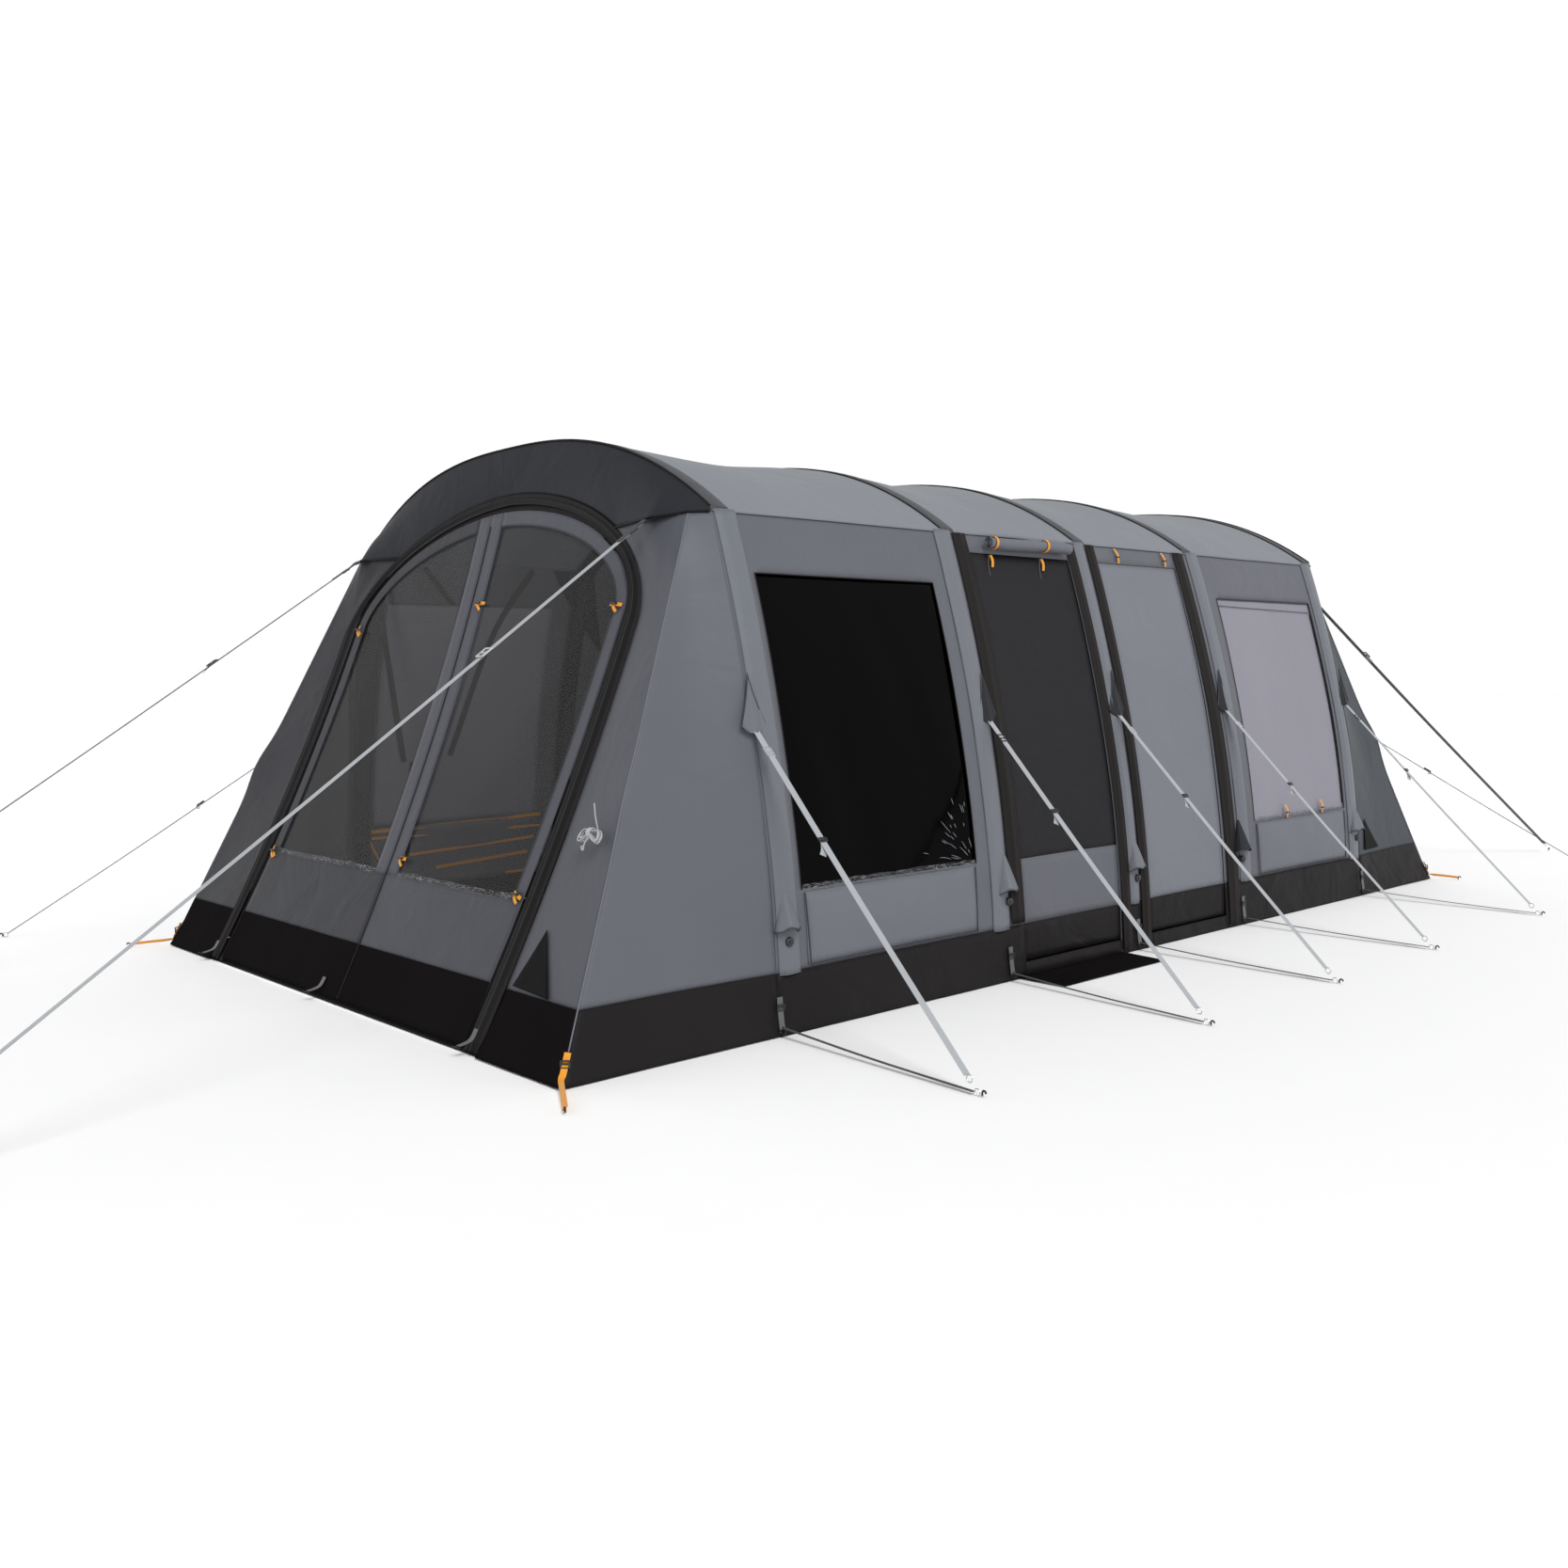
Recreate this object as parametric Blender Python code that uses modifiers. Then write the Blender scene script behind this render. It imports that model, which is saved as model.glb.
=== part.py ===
"""Inflatable tunnel tent: five air beams under a fly sheet, with porches at both ends.

Front is -Y, the side door is on +X, the ground is z = 0, and the origin is the footprint's centre.
"""

import math

import bmesh
import bpy
import numpy as np
from mathutils import Vector

# Driving dimensions, metres.
FOOT_HALF_WIDTH = 1.565
SHOULDER_HALF_WIDTH = 1.254
SHOULDER_HEIGHT = 1.75
RIDGE_HEIGHT = 2.09
WALL_POWER = 1.9  # how the wall leans in: 1 is straight
ROOF_POWER = 2.6  # how flat the roof's arch is: 2 is an ellipse
END_BAY = 1.198  # spacing of beams 1-2 and 4-5
MIDDLE_BAY = 0.864  # spacing of beams 2-3 and 3-4
PORCH = 0.846  # from an end beam to the porch's foot
ROOF_SAG = 0.03  # of the roof between two beams
ROOF_SAG_POWER = 3  # how close to its edges the sag reaches
FACE_CURVE = 0.06  # how much steeper the porch's face gets with height

FABRIC = 0.002  # thickness of every sheet
SEAM = 0.0015  # gap between panels that lie in line
FOLD = 0.003  # gap between panels that meet at an angle
GROUND_GAP = 0.001  # the walls' hems hang this far off the ground
ROOF_LIFT = 0.001  # the roof lies this far outside the beams' curve

BEAM_RADIUS = 0.04
BEAM_CLEARANCE = 0.004
BEAM_FOOT_LIFT = 0.012  # a beam's end, flattened on the groundsheet
END_BEAM_SET_BACK = 0.05  # the end beams stand behind their seams

DOOR_HALF_WIDTH = 1.0  # the front door, inside its zip
HOOD_DEPTH = 0.245  # from the ridge down to the door's top
DOOR_SPRING_DROP = 0.34  # from the shoulder down to where the door's arch springs
DOOR_POWER = 1.85
DOOR_SKIRT_GAP = 0.02  # under the door leaves
ARCH_GAP = 0.009  # between the leaves and the arch round them, whose facets cut its corners
ZIP_BAND = 0.1  # width of the cover over the front zip, at its sides
ZIP_BAND_TOP = 0.062
ZIP_BAND_DROP = 0.05  # how much lower than the door's its arch springs
SPLIT_FOOT = 0.09  # where the leaves meet, at the ground
SPLIT_LEAN = 0.1
CENTRE_STRIP = 0.085  # from the split to each window
DOOR_BORDER = 0.06
DOOR_SILL = 0.455
FACE_OVER_DOOR = 0.035  # the face reaches the beam's plane this far above the door
FACE_SET_OFF = 0.005
DOOR_TURN = 0.8  # share of the door's edge, up from its foot, that is straight
DOOR_BORDER_SPLIT = 0.6  # where the border's outer cells start

HOOD_TIP = (1.07, 0.118, 0.03)  # half width, reach past the end seam, drop below the shoulder
HOOD_JOIN = 0.80  # half width where the hood's edge meets the zip band
CREASE_TOP = (1.2, 0.048, 0.015)  # in the same terms as the hood's tip
HOOD_LEG_DROP = 0.015  # the hood's lower edge meets the leg this far below the shoulder
CORNER_ROWS = (0, 0.115, 0.3, 0.47, 0.64, DOOR_TURN, 0.88, 0.95, 1.0)  # shares of the height
CORNER_COLUMNS = (0.33, 0.66)  # shares of the way from the zip band to the crease

SKIRT_HEIGHT = 0.205
SIDE_SILL = 0.47
SIDE_HEAD = 0.22  # from the shoulder down to the side windows
WINDOW_LENGTH = 0.905
WINDOW_FROM_BEAM = 0.135
SIDE_DOOR_SILL = 0.065
SIDE_DOOR_HEAD = 0.09
SIDE_DOOR_LENGTH = 0.655
SIDE_DOOR_FROM_BEAM = 0.103
SIDE_PANEL_LENGTH = 0.62
SIDE_PANEL_FROM_BEAM = 0.103
PANE_GAP = 0.0008
PANE_CELLS = 5  # rows of cells up a side window

ROOF_ROWS = 5
ROOF_COLUMNS = 15

VALVE_HEIGHT = 0.31
VALVE_RADIUS = 0.017
VALVE_LENGTH = 0.024
VALVE_TAPER = 0.85
COVER_TOP = 0.49
COVER_LENGTH = 0.15
COVER_TOP_RADIUS = 0.006
COVER_FOOT_RADIUS = 0.055
COVER_HINGE_GAP = 0.004

ROLL_RADIUS = 0.028
ROLL_LENGTH = 0.53
ROLL_MIDDLE = 0.54  # share of the side door's length
ROUND_SIDES = 16
MAT_DEPTH = 0.213
MAT_LENGTH = 0.69
MAT_THICKNESS = 0.004
MAT_OFFSET = -0.03  # from the side door's middle
GROUNDSHEET = 0.003

INNER_FRONT = 0.78
INNER_HALF_WIDTH = 1.36
INNER_SHOULDER = (1.06, 1.6)
INNER_HIP = (0.6, 1.82)
INNER_RIDGE = 1.88
INNER_FOOT_DEPTH = 2.0
INNER_BACK_LEAN = 0.42
INNER_LIFT = 0.006
INNER_DOOR = (0.45, 0.1, 1.5)  # half width, bottom, top
CUT_DEPTH = 0.1

STRAP_WIDTH = 0.025
LOW_STRAP_WIDTH = 0.015
ROPE = 0.004
HANK_SIZE = (0.075, 0.13, 0.022)
HANK_PLACE = (1.325, -2.615, 0.7)

# The points that the free straps and ropes pass through.
STRAPS = {
    "side_strap_1": [(1.476, -2.06, 1.0), (1.935, -2.08, 0.524), (2.402, -2.1, 0.052)],
    "side_strap_2": [(1.476, -0.864, 1.0), (1.946, -0.902, 0.524), (2.425, -0.936, 0.052)],
    "side_strap_3": [(1.476, 0.0, 1.0), (1.946, -0.015, 0.524), (2.425, -0.028, 0.052)],
    "side_strap_4": [(1.476, 0.864, 1.0), (1.936, 0.867, 0.524), (2.405, 0.87, 0.052)],
    "side_strap_5": [(1.476, 2.06, 1.0), (1.936, 2.06, 0.524), (2.405, 2.06, 0.052)],
    "hood_strap_right": [(1.072, -2.206, 1.704), (1.14, -3.4, 0.875), (1.208, -4.61, 0.052)],
    "hood_strap_left": [(-1.072, -2.206, 1.704), (-1.14, -3.4, 0.875), (-1.208, -4.61, 0.052)],
    "rear_strap_right": [(1.072, 2.206, 1.704), (1.32, 3.4, 0.875), (1.58, 4.61, 0.052)],
}
LOW_STRAPS = {
    "ground_strap_1": [(1.585, -2.06, 0.035), (2.0, -2.08, 0.018), (2.427, -2.1, 0.0095)],
    "ground_strap_2": [(1.585, -0.864, 0.035), (2.01, -0.902, 0.018), (2.45, -0.937, 0.0095)],
    "ground_strap_3": [(1.585, 0.0, 0.035), (2.01, -0.015, 0.018), (2.45, -0.028, 0.0095)],
    "ground_strap_4": [(1.585, 0.864, 0.035), (2.0, 0.867, 0.018), (2.43, 0.87, 0.0095)],
    "ground_strap_5": [(1.585, 2.06, 0.035), (2.0, 2.06, 0.018), (2.43, 2.06, 0.0095)],
}
ROPES = {
    "corner_rope_left": [(-1.412, -2.556, 0.795), (-1.88, -2.973, 0.4), (-2.345, -3.387, 0.018)],
    "corner_rope_rear": [(1.412, 2.556, 0.795), (1.88, 2.973, 0.4), (2.345, 3.387, 0.018)],
}
ROUTE_POINTS = 12

# Worked out from the driving dimensions.
END_SEAM = MIDDLE_BAY + END_BAY
SEAMS = [-END_SEAM, -MIDDLE_BAY, 0.0, MIDDLE_BAY, END_SEAM]
BEAM_PLANES = [-END_SEAM + END_BEAM_SET_BACK, *SEAMS[1:4], END_SEAM - END_BEAM_SET_BACK]
HALF_LENGTH = END_SEAM + PORCH
DOOR_TOP = RIDGE_HEIGHT - HOOD_DEPTH
DOOR_SPRING = SHOULDER_HEIGHT - DOOR_SPRING_DROP
FACE_TOP = DOOR_TOP + FACE_OVER_DOOR
FACE_SLOPE = (PORCH - FACE_SET_OFF) / FACE_TOP + FACE_CURVE * FACE_TOP
SIDE_WINDOW_TOP = SHOULDER_HEIGHT - SIDE_HEAD
SIDE_DOOR_TOP = SHOULDER_HEIGHT - SIDE_DOOR_HEAD
SIDE_DOOR_START = -MIDDLE_BAY + SIDE_DOOR_FROM_BEAM
SIDE_PANEL_START = SIDE_PANEL_FROM_BEAM
ROOF_XS = (SHOULDER_HALF_WIDTH - FOLD) * np.sin(np.linspace(-1, 1, ROOF_COLUMNS) * math.pi / 2)
WALL_ENDS = [-END_SEAM, SIDE_DOOR_START - SEAM, SIDE_PANEL_START + SIDE_PANEL_LENGTH + SEAM, END_SEAM]
INSIDE = Vector((0, 0, 0.9))


def clear_scene():
    for thing in list(bpy.data.objects):
        bpy.data.objects.remove(thing, do_unlink=True)


def new_collection(name):
    collection = bpy.data.collections.new(name)
    bpy.context.scene.collection.children.link(collection)
    return collection


def new_material(name, colour, roughness, metallic=0.0, alpha=1.0):
    material = bpy.data.materials.new(name)
    material.use_nodes = True
    shader = material.node_tree.nodes["Principled BSDF"]
    shader.inputs["Base Color"].default_value = (*colour, 1.0)
    shader.inputs["Roughness"].default_value = roughness
    shader.inputs["Metallic"].default_value = metallic
    shader.inputs["Alpha"].default_value = alpha
    return material


clear_scene()
TENT = new_collection("tunnel_tent")
CUTTERS = new_collection("cutters")
MATERIALS = {
    "wall_fabric": new_material("wall_fabric", (0.17, 0.18, 0.2), 0.75),
    "roof_fabric": new_material("roof_fabric", (0.3, 0.32, 0.35), 0.7),
    "hood_fabric": new_material("hood_fabric", (0.05, 0.055, 0.065), 0.75),
    "mesh_fabric": new_material("mesh_fabric", (0.02, 0.02, 0.022), 0.9),
    "inner_fabric": new_material("inner_fabric", (0.12, 0.12, 0.13), 0.8),
    "groundsheet": new_material("groundsheet", (0.03, 0.03, 0.032), 0.6),
    "beam_sleeve": new_material("beam_sleeve", (0.1, 0.1, 0.11), 0.6),
    "clear_vinyl": new_material("clear_vinyl", (0.05, 0.055, 0.06), 0.08, alpha=0.4),
    "valve_plastic": new_material("valve_plastic", (0.03, 0.035, 0.033), 0.45),
    "webbing": new_material("webbing", (0.5, 0.51, 0.53), 0.6),
    "low_webbing": new_material("low_webbing", (0.09, 0.09, 0.1), 0.7),
    "rope": new_material("rope", (0.55, 0.56, 0.57), 0.8),
}


def add_object(name, data, material, place=(0, 0, 0)):
    """A new object of the tent, with its own copy of the material."""
    thing = bpy.data.objects.new(name, data)
    thing.location = place
    own = MATERIALS[material].copy()
    own.name = f"{name}_{material}"
    data.materials.append(own)
    TENT.objects.link(thing)
    return thing


def wall_x(z):
    """Half width of the tunnel at a height up to the shoulder: a lean that grows as a power of the height."""
    lean = FOOT_HALF_WIDTH - SHOULDER_HALF_WIDTH
    return FOOT_HALF_WIDTH - lean * (np.maximum(z, 0) / SHOULDER_HEIGHT) ** WALL_POWER


def roof_z(x):
    """Height of the roof at a beam: a flattened arch between the shoulders."""
    share = np.minimum(np.abs(x) / SHOULDER_HALF_WIDTH, 1)
    return SHOULDER_HEIGHT + (RIDGE_HEIGHT - SHOULDER_HEIGHT) * (1 - share**ROOF_POWER)


def face_reach(z):
    """How far the porch's face stands from the tent's middle at a height."""
    return HALF_LENGTH - FACE_SLOPE * z + FACE_CURVE * z**2


def arch_z(x, half_width, spring, top):
    """Height of an arched edge: a superellipse that springs from straight sides."""
    share = np.minimum(np.abs(x) / half_width, 1)
    return spring + (top - spring) * (1 - share**DOOR_POWER) ** (1 / DOOR_POWER)


def steps(*stops):
    """Values from stop to stop: (first, (next, cells), ...), without repeats."""
    values = [stops[0]]
    for stop, cells in stops[1:]:
        values += list(np.linspace(values[-1], stop, cells + 1)[1:])
    return np.array(values)


def sheet(name, grid, material, holes=(), inside=INSIDE, hinge=(0, 0, 0)):
    """A thin panel on a grid of points, without the cells in holes (row, row, column, column).

    Its outer side lies on the grid, its thickness goes inwards, and its origin is the hinge.
    """
    grid = np.asarray(grid) - np.array(hinge)
    centre = np.array(inside) - np.array(hinge)
    body = bmesh.new()
    points = [[body.verts.new(p) for p in row] for row in grid]
    for i in range(len(grid) - 1):
        for j in range(len(grid[0]) - 1):
            if not any(a <= i < b and c <= j < d for a, b, c, d in holes):
                body.faces.new((points[i][j], points[i][j + 1], points[i + 1][j + 1], points[i + 1][j]))
    bmesh.ops.delete(body, geom=[v for v in body.verts if not v.link_faces], context="VERTS")
    body.normal_update()
    facing = sum(f.calc_area() * f.normal.dot(f.calc_center_median() - Vector(centre)) for f in body.faces)
    if facing < 0:
        bmesh.ops.reverse_faces(body, faces=body.faces[:])
    mesh = bpy.data.meshes.new(name)
    body.to_mesh(mesh)
    body.free()
    thing = add_object(name, mesh, material, hinge)
    wall = thing.modifiers.new("cloth", "SOLIDIFY")
    wall.thickness = FABRIC
    wall.offset = -1.0
    return thing


def wall_grid(side, ys, zs):
    """Points on a side wall, rows up and columns along it."""
    return [[(side * wall_x(z), y, z) for y in ys] for z in zs]


def make_roof():
    """Four roof bays from shoulder to shoulder, each sagging between its beams."""
    edge = ROOF_XS[-1]
    for i, (start, end) in enumerate(zip(SEAMS[:-1], SEAMS[1:])):
        rows = []
        for y in np.linspace(start + SEAM / 2, end - SEAM / 2, ROOF_ROWS):
            dip = ROOF_SAG * math.sin(math.pi * (y - start) / (end - start)) ** 2
            sag = dip * (1 - np.abs(ROOF_XS / edge) ** ROOF_SAG_POWER)
            rows.append([(x, y, z) for x, z in zip(ROOF_XS, roof_z(ROOF_XS) + ROOF_LIFT - sag)])
        sheet(f"roof_bay_{i + 1}", rows, "roof_fabric")


def side_wall_heights():
    """The rows of points up a side wall, from its hem to the shoulder."""
    top = SHOULDER_HEIGHT - FOLD / 2
    return steps(GROUND_GAP, (SKIRT_HEIGHT, 1), (SIDE_SILL, 1), (SIDE_WINDOW_TOP, PANE_CELLS), (top, 1))


def make_side_walls():
    """The side walls, their window panes, the side door and the closed side panel."""
    zs = side_wall_heights()
    window_rows = (2, 2 + PANE_CELLS)
    pane_zs = np.linspace(SIDE_SILL + PANE_GAP, SIDE_WINDOW_TOP - PANE_GAP, PANE_CELLS + 1)
    window_start = {
        "front": -END_SEAM + WINDOW_FROM_BEAM,
        "rear": END_SEAM - WINDOW_FROM_BEAM - WINDOW_LENGTH,
    }
    for end, (first, last) in {"front": WALL_ENDS[:2], "rear": WALL_ENDS[2:]}.items():
        start = window_start[end]
        ys = steps(first + SEAM, (start, 1), (start + WINDOW_LENGTH, 2), (last - SEAM, 1))
        grid = wall_grid(1, ys, zs)
        sheet(f"right_wall_{end}", grid, "wall_fabric", [(*window_rows, 1, 3)])
    front, rear = window_start["front"], window_start["rear"]
    first_window, last_window = front + WINDOW_LENGTH, rear + WINDOW_LENGTH
    last = END_SEAM - SEAM
    ys = steps(-last, (front, 1), (first_window, 2), (rear, 3), (last_window, 2), (last, 1))
    sheet("left_wall", wall_grid(-1, ys, zs), "wall_fabric", [(*window_rows, 1, 3), (*window_rows, 6, 8)])
    for side, side_name in ((1, "right"), (-1, "left")):
        for end, start in window_start.items():
            ys = np.linspace(start + PANE_GAP, start + WINDOW_LENGTH - PANE_GAP, 3)
            sheet(f"{side_name}_window_{end}", wall_grid(side, ys, pane_zs), "clear_vinyl")

    doors = {
        "side_door": (SIDE_DOOR_START, SIDE_DOOR_LENGTH, "mesh_fabric"),
        "side_panel": (SIDE_PANEL_START, SIDE_PANEL_LENGTH, "wall_fabric"),
    }
    ys = [WALL_ENDS[1]]
    for start, length, _ in doors.values():
        ys += [start, start + length]
    ys.append(WALL_ENDS[2])
    zs = steps(zs[0], (SIDE_DOOR_SILL, 1), (SIDE_DOOR_TOP, 6), (zs[-1], 1))
    edges = [ys[0], ys[1] + FOLD, ys[2] - FOLD, ys[3] + FOLD, ys[4] - FOLD, ys[5]]
    sheet("right_wall_middle", wall_grid(1, edges, zs), "wall_fabric", [(1, 7, 1, 2), (1, 7, 3, 4)])
    for name, (start, length, material) in doors.items():
        ys = np.linspace(start + FOLD + SEAM, start + length - FOLD - SEAM, 3)
        zs = np.linspace(SIDE_DOOR_SILL + SEAM, SIDE_DOOR_TOP - SEAM, 8)
        hinge = (wall_x(SIDE_DOOR_TOP), start + length / 2, SIDE_DOOR_TOP)
        sheet(name, wall_grid(1, ys, zs), material, hinge=hinge)


def make_door_leaves():
    """The front door's two leaves and their window panes, on the porch's leaning face."""
    inner_half = DOOR_HALF_WIDTH - DOOR_BORDER
    inner_top = DOOR_TOP - DOOR_BORDER
    for side, name in ((1, "right"), (-1, "left")):
        outer = DOOR_HALF_WIDTH - SEAM
        feet = [SPLIT_FOOT + side * SEAM, SPLIT_FOOT + side * CENTRE_STRIP]
        lean = SPLIT_LEAN * DOOR_TOP
        heads = [x - lean for x in feet]
        first_foot, first_head = feet[-1], heads[-1]
        for k in range(1, 6):
            share = math.sin(k / 5 * math.pi / 2)
            feet.append(first_foot + (side * inner_half - first_foot) * share)
            heads.append(first_head + (side * inner_half - first_head) * share)
        for share in (DOOR_BORDER_SPLIT, 1):
            feet.append(side * (inner_half + (outer - inner_half) * share))
            heads.append(feet[-1])
        columns = []
        for foot, head in zip(feet, heads):
            crown = float(arch_z(head, DOOR_HALF_WIDTH, DOOR_SPRING, DOOR_TOP)) - SEAM
            pane_crown = float(arch_z(head, inner_half, DOOR_SPRING, inner_top))
            zs = steps(DOOR_SKIRT_GAP, (SKIRT_HEIGHT, 1), (DOOR_SILL, 1), (pane_crown, 6), (crown, 1))
            columns.append([(foot + (head - foot) * z / DOOR_TOP, -face_reach(z), z) for z in zs])
        grid = np.array(columns).transpose(1, 0, 2)
        hinge = (side * DOOR_HALF_WIDTH, -face_reach(0), 0)
        sheet(f"front_door_{name}", grid, "wall_fabric", [(2, 8, 1, 6)], hinge=hinge)
        pane = grid[2:9, 1:7]
        middle = (pane.min((0, 1)) + pane.max((0, 1))) / 2
        size = pane.max((0, 1)) - pane.min((0, 1))
        pane = middle + (pane - middle) * (1 - 2 * PANE_GAP / size[0])
        sheet(f"front_window_{name}", pane, "clear_vinyl", hinge=hinge)


def door_edge(t, half_width, spring, top, join):
    """A point up the door's edge: straight to the spring, then along the arch to the hood."""
    if t <= DOOR_TURN:
        x, z = half_width, spring * t / DOOR_TURN
    else:
        x = half_width - (half_width - join) * ((t - DOOR_TURN) / (1 - DOOR_TURN)) ** 2
        z = float(arch_z(x, half_width, spring, top))
    return np.array((x, face_reach(z), z))


def hood_point(shape):
    """A point of the hood's edge from its half width, reach past the end seam, and drop."""
    return np.array((shape[0], END_SEAM + shape[1], SHOULDER_HEIGHT - shape[2]))


def band_edge():
    """Half width, spring and top of the zip band's outer edge."""
    return DOOR_HALF_WIDTH + ZIP_BAND, DOOR_SPRING - ZIP_BAND_DROP, DOOR_TOP + ZIP_BAND_TOP


def make_corners():
    """The creased panels beside both porches, from the door's edge round to the end beams."""
    inner_join = HOOD_JOIN - ZIP_BAND_TOP
    half_width, spring, top = band_edge()
    crease_top = hood_point(CREASE_TOP)
    foot = np.array((FOOT_HALF_WIDTH, HALF_LENGTH, 0))
    tip = hood_point(HOOD_TIP)
    rise = (arch_z(HOOD_JOIN, half_width, spring, top) - tip[2]) / (tip[0] - HOOD_JOIN)
    hood_gap = FOLD * math.hypot(1, rise)
    rows = []
    for t in CORNER_ROWS:
        edge = door_edge(t, DOOR_HALF_WIDTH + ARCH_GAP, DOOR_SPRING, DOOR_TOP + ARCH_GAP, inner_join)
        band = door_edge(t, half_width, spring, top, HOOD_JOIN)
        crease = foot + (crease_top - foot) * t
        height = crease_top[2] * t
        leg = np.array((wall_x(height), END_SEAM + SEAM, height))
        middle = [band + (crease - band) * share for share in CORNER_COLUMNS]
        if t == 1:
            middle = [(band + tip) / 2, tip]
        row = [edge, band, *middle, crease, (crease + leg) / 2, leg]
        rows.append([p + (0, 0, GROUND_GAP * (1 - t) - hood_gap * t) for p in row])
    rows = np.array(rows)
    for y_sign, end in ((-1, "front"), (1, "rear")):
        for x_sign, side in ((1, "right"), (-1, "left")):
            sheet(f"{end}_corner_{side}", rows * (x_sign, y_sign, 1), "wall_fabric")


def make_hoods():
    """The hoods over both porch faces, from the end beams down to the door's arch."""
    half_width, spring, top = band_edge()
    join = np.array((HOOD_JOIN, 0, float(arch_z(HOOD_JOIN, half_width, spring, top))))
    join[1] = face_reach(join[2])
    inner_join = HOOD_JOIN - ZIP_BAND_TOP
    leg_top = SHOULDER_HEIGHT - HOOD_LEG_DROP
    leg = np.array((float(wall_x(leg_top)), END_SEAM + SEAM, leg_top))
    lower = [leg, hood_point(CREASE_TOP), hood_point(HOOD_TIP), join]
    for x in inner_join * np.cos(np.linspace(0, math.pi / 2, 6)):
        z = float(arch_z(x, DOOR_HALF_WIDTH, DOOR_SPRING, DOOR_TOP)) + ARCH_GAP
        lower.append(np.array((x, face_reach(z), z)))
    lower = lower + [p * (-1, 1, 1) for p in lower[-2::-1]]
    upper = []
    for p in lower:
        x = p[0] * ROOF_XS[-1] / leg[0]
        upper.append(np.array((x, END_SEAM + FOLD, float(roof_z(x)) + ROOF_LIFT)))
    lower, upper = np.array(lower), np.array(upper)
    rows = np.array([upper + (lower - upper) * share for share in (0, 0.5, 1)])
    for y_sign, end in ((-1, "front"), (1, "rear")):
        sheet(f"{end}_hood", rows * (1, y_sign, 1), "hood_fabric")


def make_rear_wall():
    """The closed panel of the rear porch, inside the same arch as the front door."""
    columns = []
    for x in (DOOR_HALF_WIDTH - SEAM) * np.sin(np.linspace(-1, 1, 13) * math.pi / 2):
        crown = float(arch_z(x, DOOR_HALF_WIDTH, DOOR_SPRING, DOOR_TOP)) - SEAM
        columns.append([(x, face_reach(z), z) for z in np.linspace(GROUND_GAP, crown, 8)])
    sheet("rear_wall", np.array(columns).transpose(1, 0, 2), "wall_fabric")


def tube(name, points, radius, material, resolution=2):
    """A capped tube along a run of points."""
    curve = bpy.data.curves.new(name, "CURVE")
    curve.dimensions = "3D"
    curve.bevel_depth = radius
    curve.bevel_resolution = resolution
    curve.use_fill_caps = True
    line = curve.splines.new("POLY")
    line.points.add(len(points) - 1)
    for point, place in zip(line.points, points):
        point.co = (*place, 1)
    return add_object(name, curve, material)


def make_beams():
    """The five air beams, just inside the fly from foot to foot, with the same facets as the fly."""
    inset = FABRIC + BEAM_CLEARANCE + BEAM_RADIUS
    wall = [(float(wall_x(z)), z) for z in side_wall_heights()[:-1]]
    crown = [(x, float(roof_z(x))) for x in ROOF_XS[-2 : ROOF_COLUMNS // 2 - 1 : -1]]
    half = np.array(wall + crown)
    outline = np.concatenate([half, half[-2::-1] * (-1, 1)])
    along = np.diff(outline, axis=0)
    along /= np.linalg.norm(along, axis=1)[:, None]
    inward = np.stack([-along[:, 1], along[:, 0]], axis=1)
    before = np.concatenate([inward[:1], inward])
    after = np.concatenate([inward, inward[-1:]])
    mitre = (before + after) / (1 + (before * after).sum(axis=1))[:, None]
    middle = outline + mitre * inset
    middle[[0, -1], 1] = GROUNDSHEET + FOLD + BEAM_FOOT_LIFT
    for i, y in enumerate(BEAM_PLANES):
        tube(f"air_beam_{i + 1}", [(x, y, z) for x, z in middle], BEAM_RADIUS, "beam_sleeve")


def cylinder(name, foot_radius, top_radius, height):
    """A closed round mesh along Z, from one radius to another."""
    mesh = bpy.data.meshes.new(name)
    body = bmesh.new()
    bmesh.ops.create_cone(
        body, cap_ends=True, segments=ROUND_SIDES, radius1=foot_radius, radius2=top_radius, depth=height
    )
    body.to_mesh(mesh)
    body.free()
    return mesh


def make_valves():
    """Each beam's inflation valve, low on the outside of the right wall, under its own fabric cover."""
    seat = float(wall_x(VALVE_HEIGHT - VALVE_RADIUS)) + ROOF_LIFT
    pivot_x = float(wall_x(COVER_TOP)) + COVER_HINGE_GAP
    for i, y in enumerate(BEAM_PLANES):
        mesh = cylinder(f"inflation_valve_{i + 1}", VALVE_RADIUS, VALVE_RADIUS * VALVE_TAPER, VALVE_LENGTH)
        valve = add_object(mesh.name, mesh, "valve_plastic", (seat + VALVE_LENGTH / 2, y, VALVE_HEIGHT))
        valve.rotation_euler = (0, math.pi / 2, 0)
        rows = []
        for share in np.linspace(0, 1, 4):
            z = COVER_TOP - COVER_LENGTH * share
            radius = COVER_TOP_RADIUS + (COVER_FOOT_RADIUS - COVER_TOP_RADIUS) * share
            base = max(pivot_x, float(wall_x(z)) + FOLD)
            angles = np.linspace(-math.pi / 2, math.pi / 2, 9)
            rows.append([(base + radius * math.cos(a), y + radius * math.sin(a), z) for a in angles])
        hinge = (pivot_x, y, COVER_TOP)
        inside = (pivot_x, y, COVER_TOP - COVER_LENGTH / 2)
        sheet(f"valve_cover_{i + 1}", rows, "hood_fabric", inside=inside, hinge=hinge)


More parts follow.
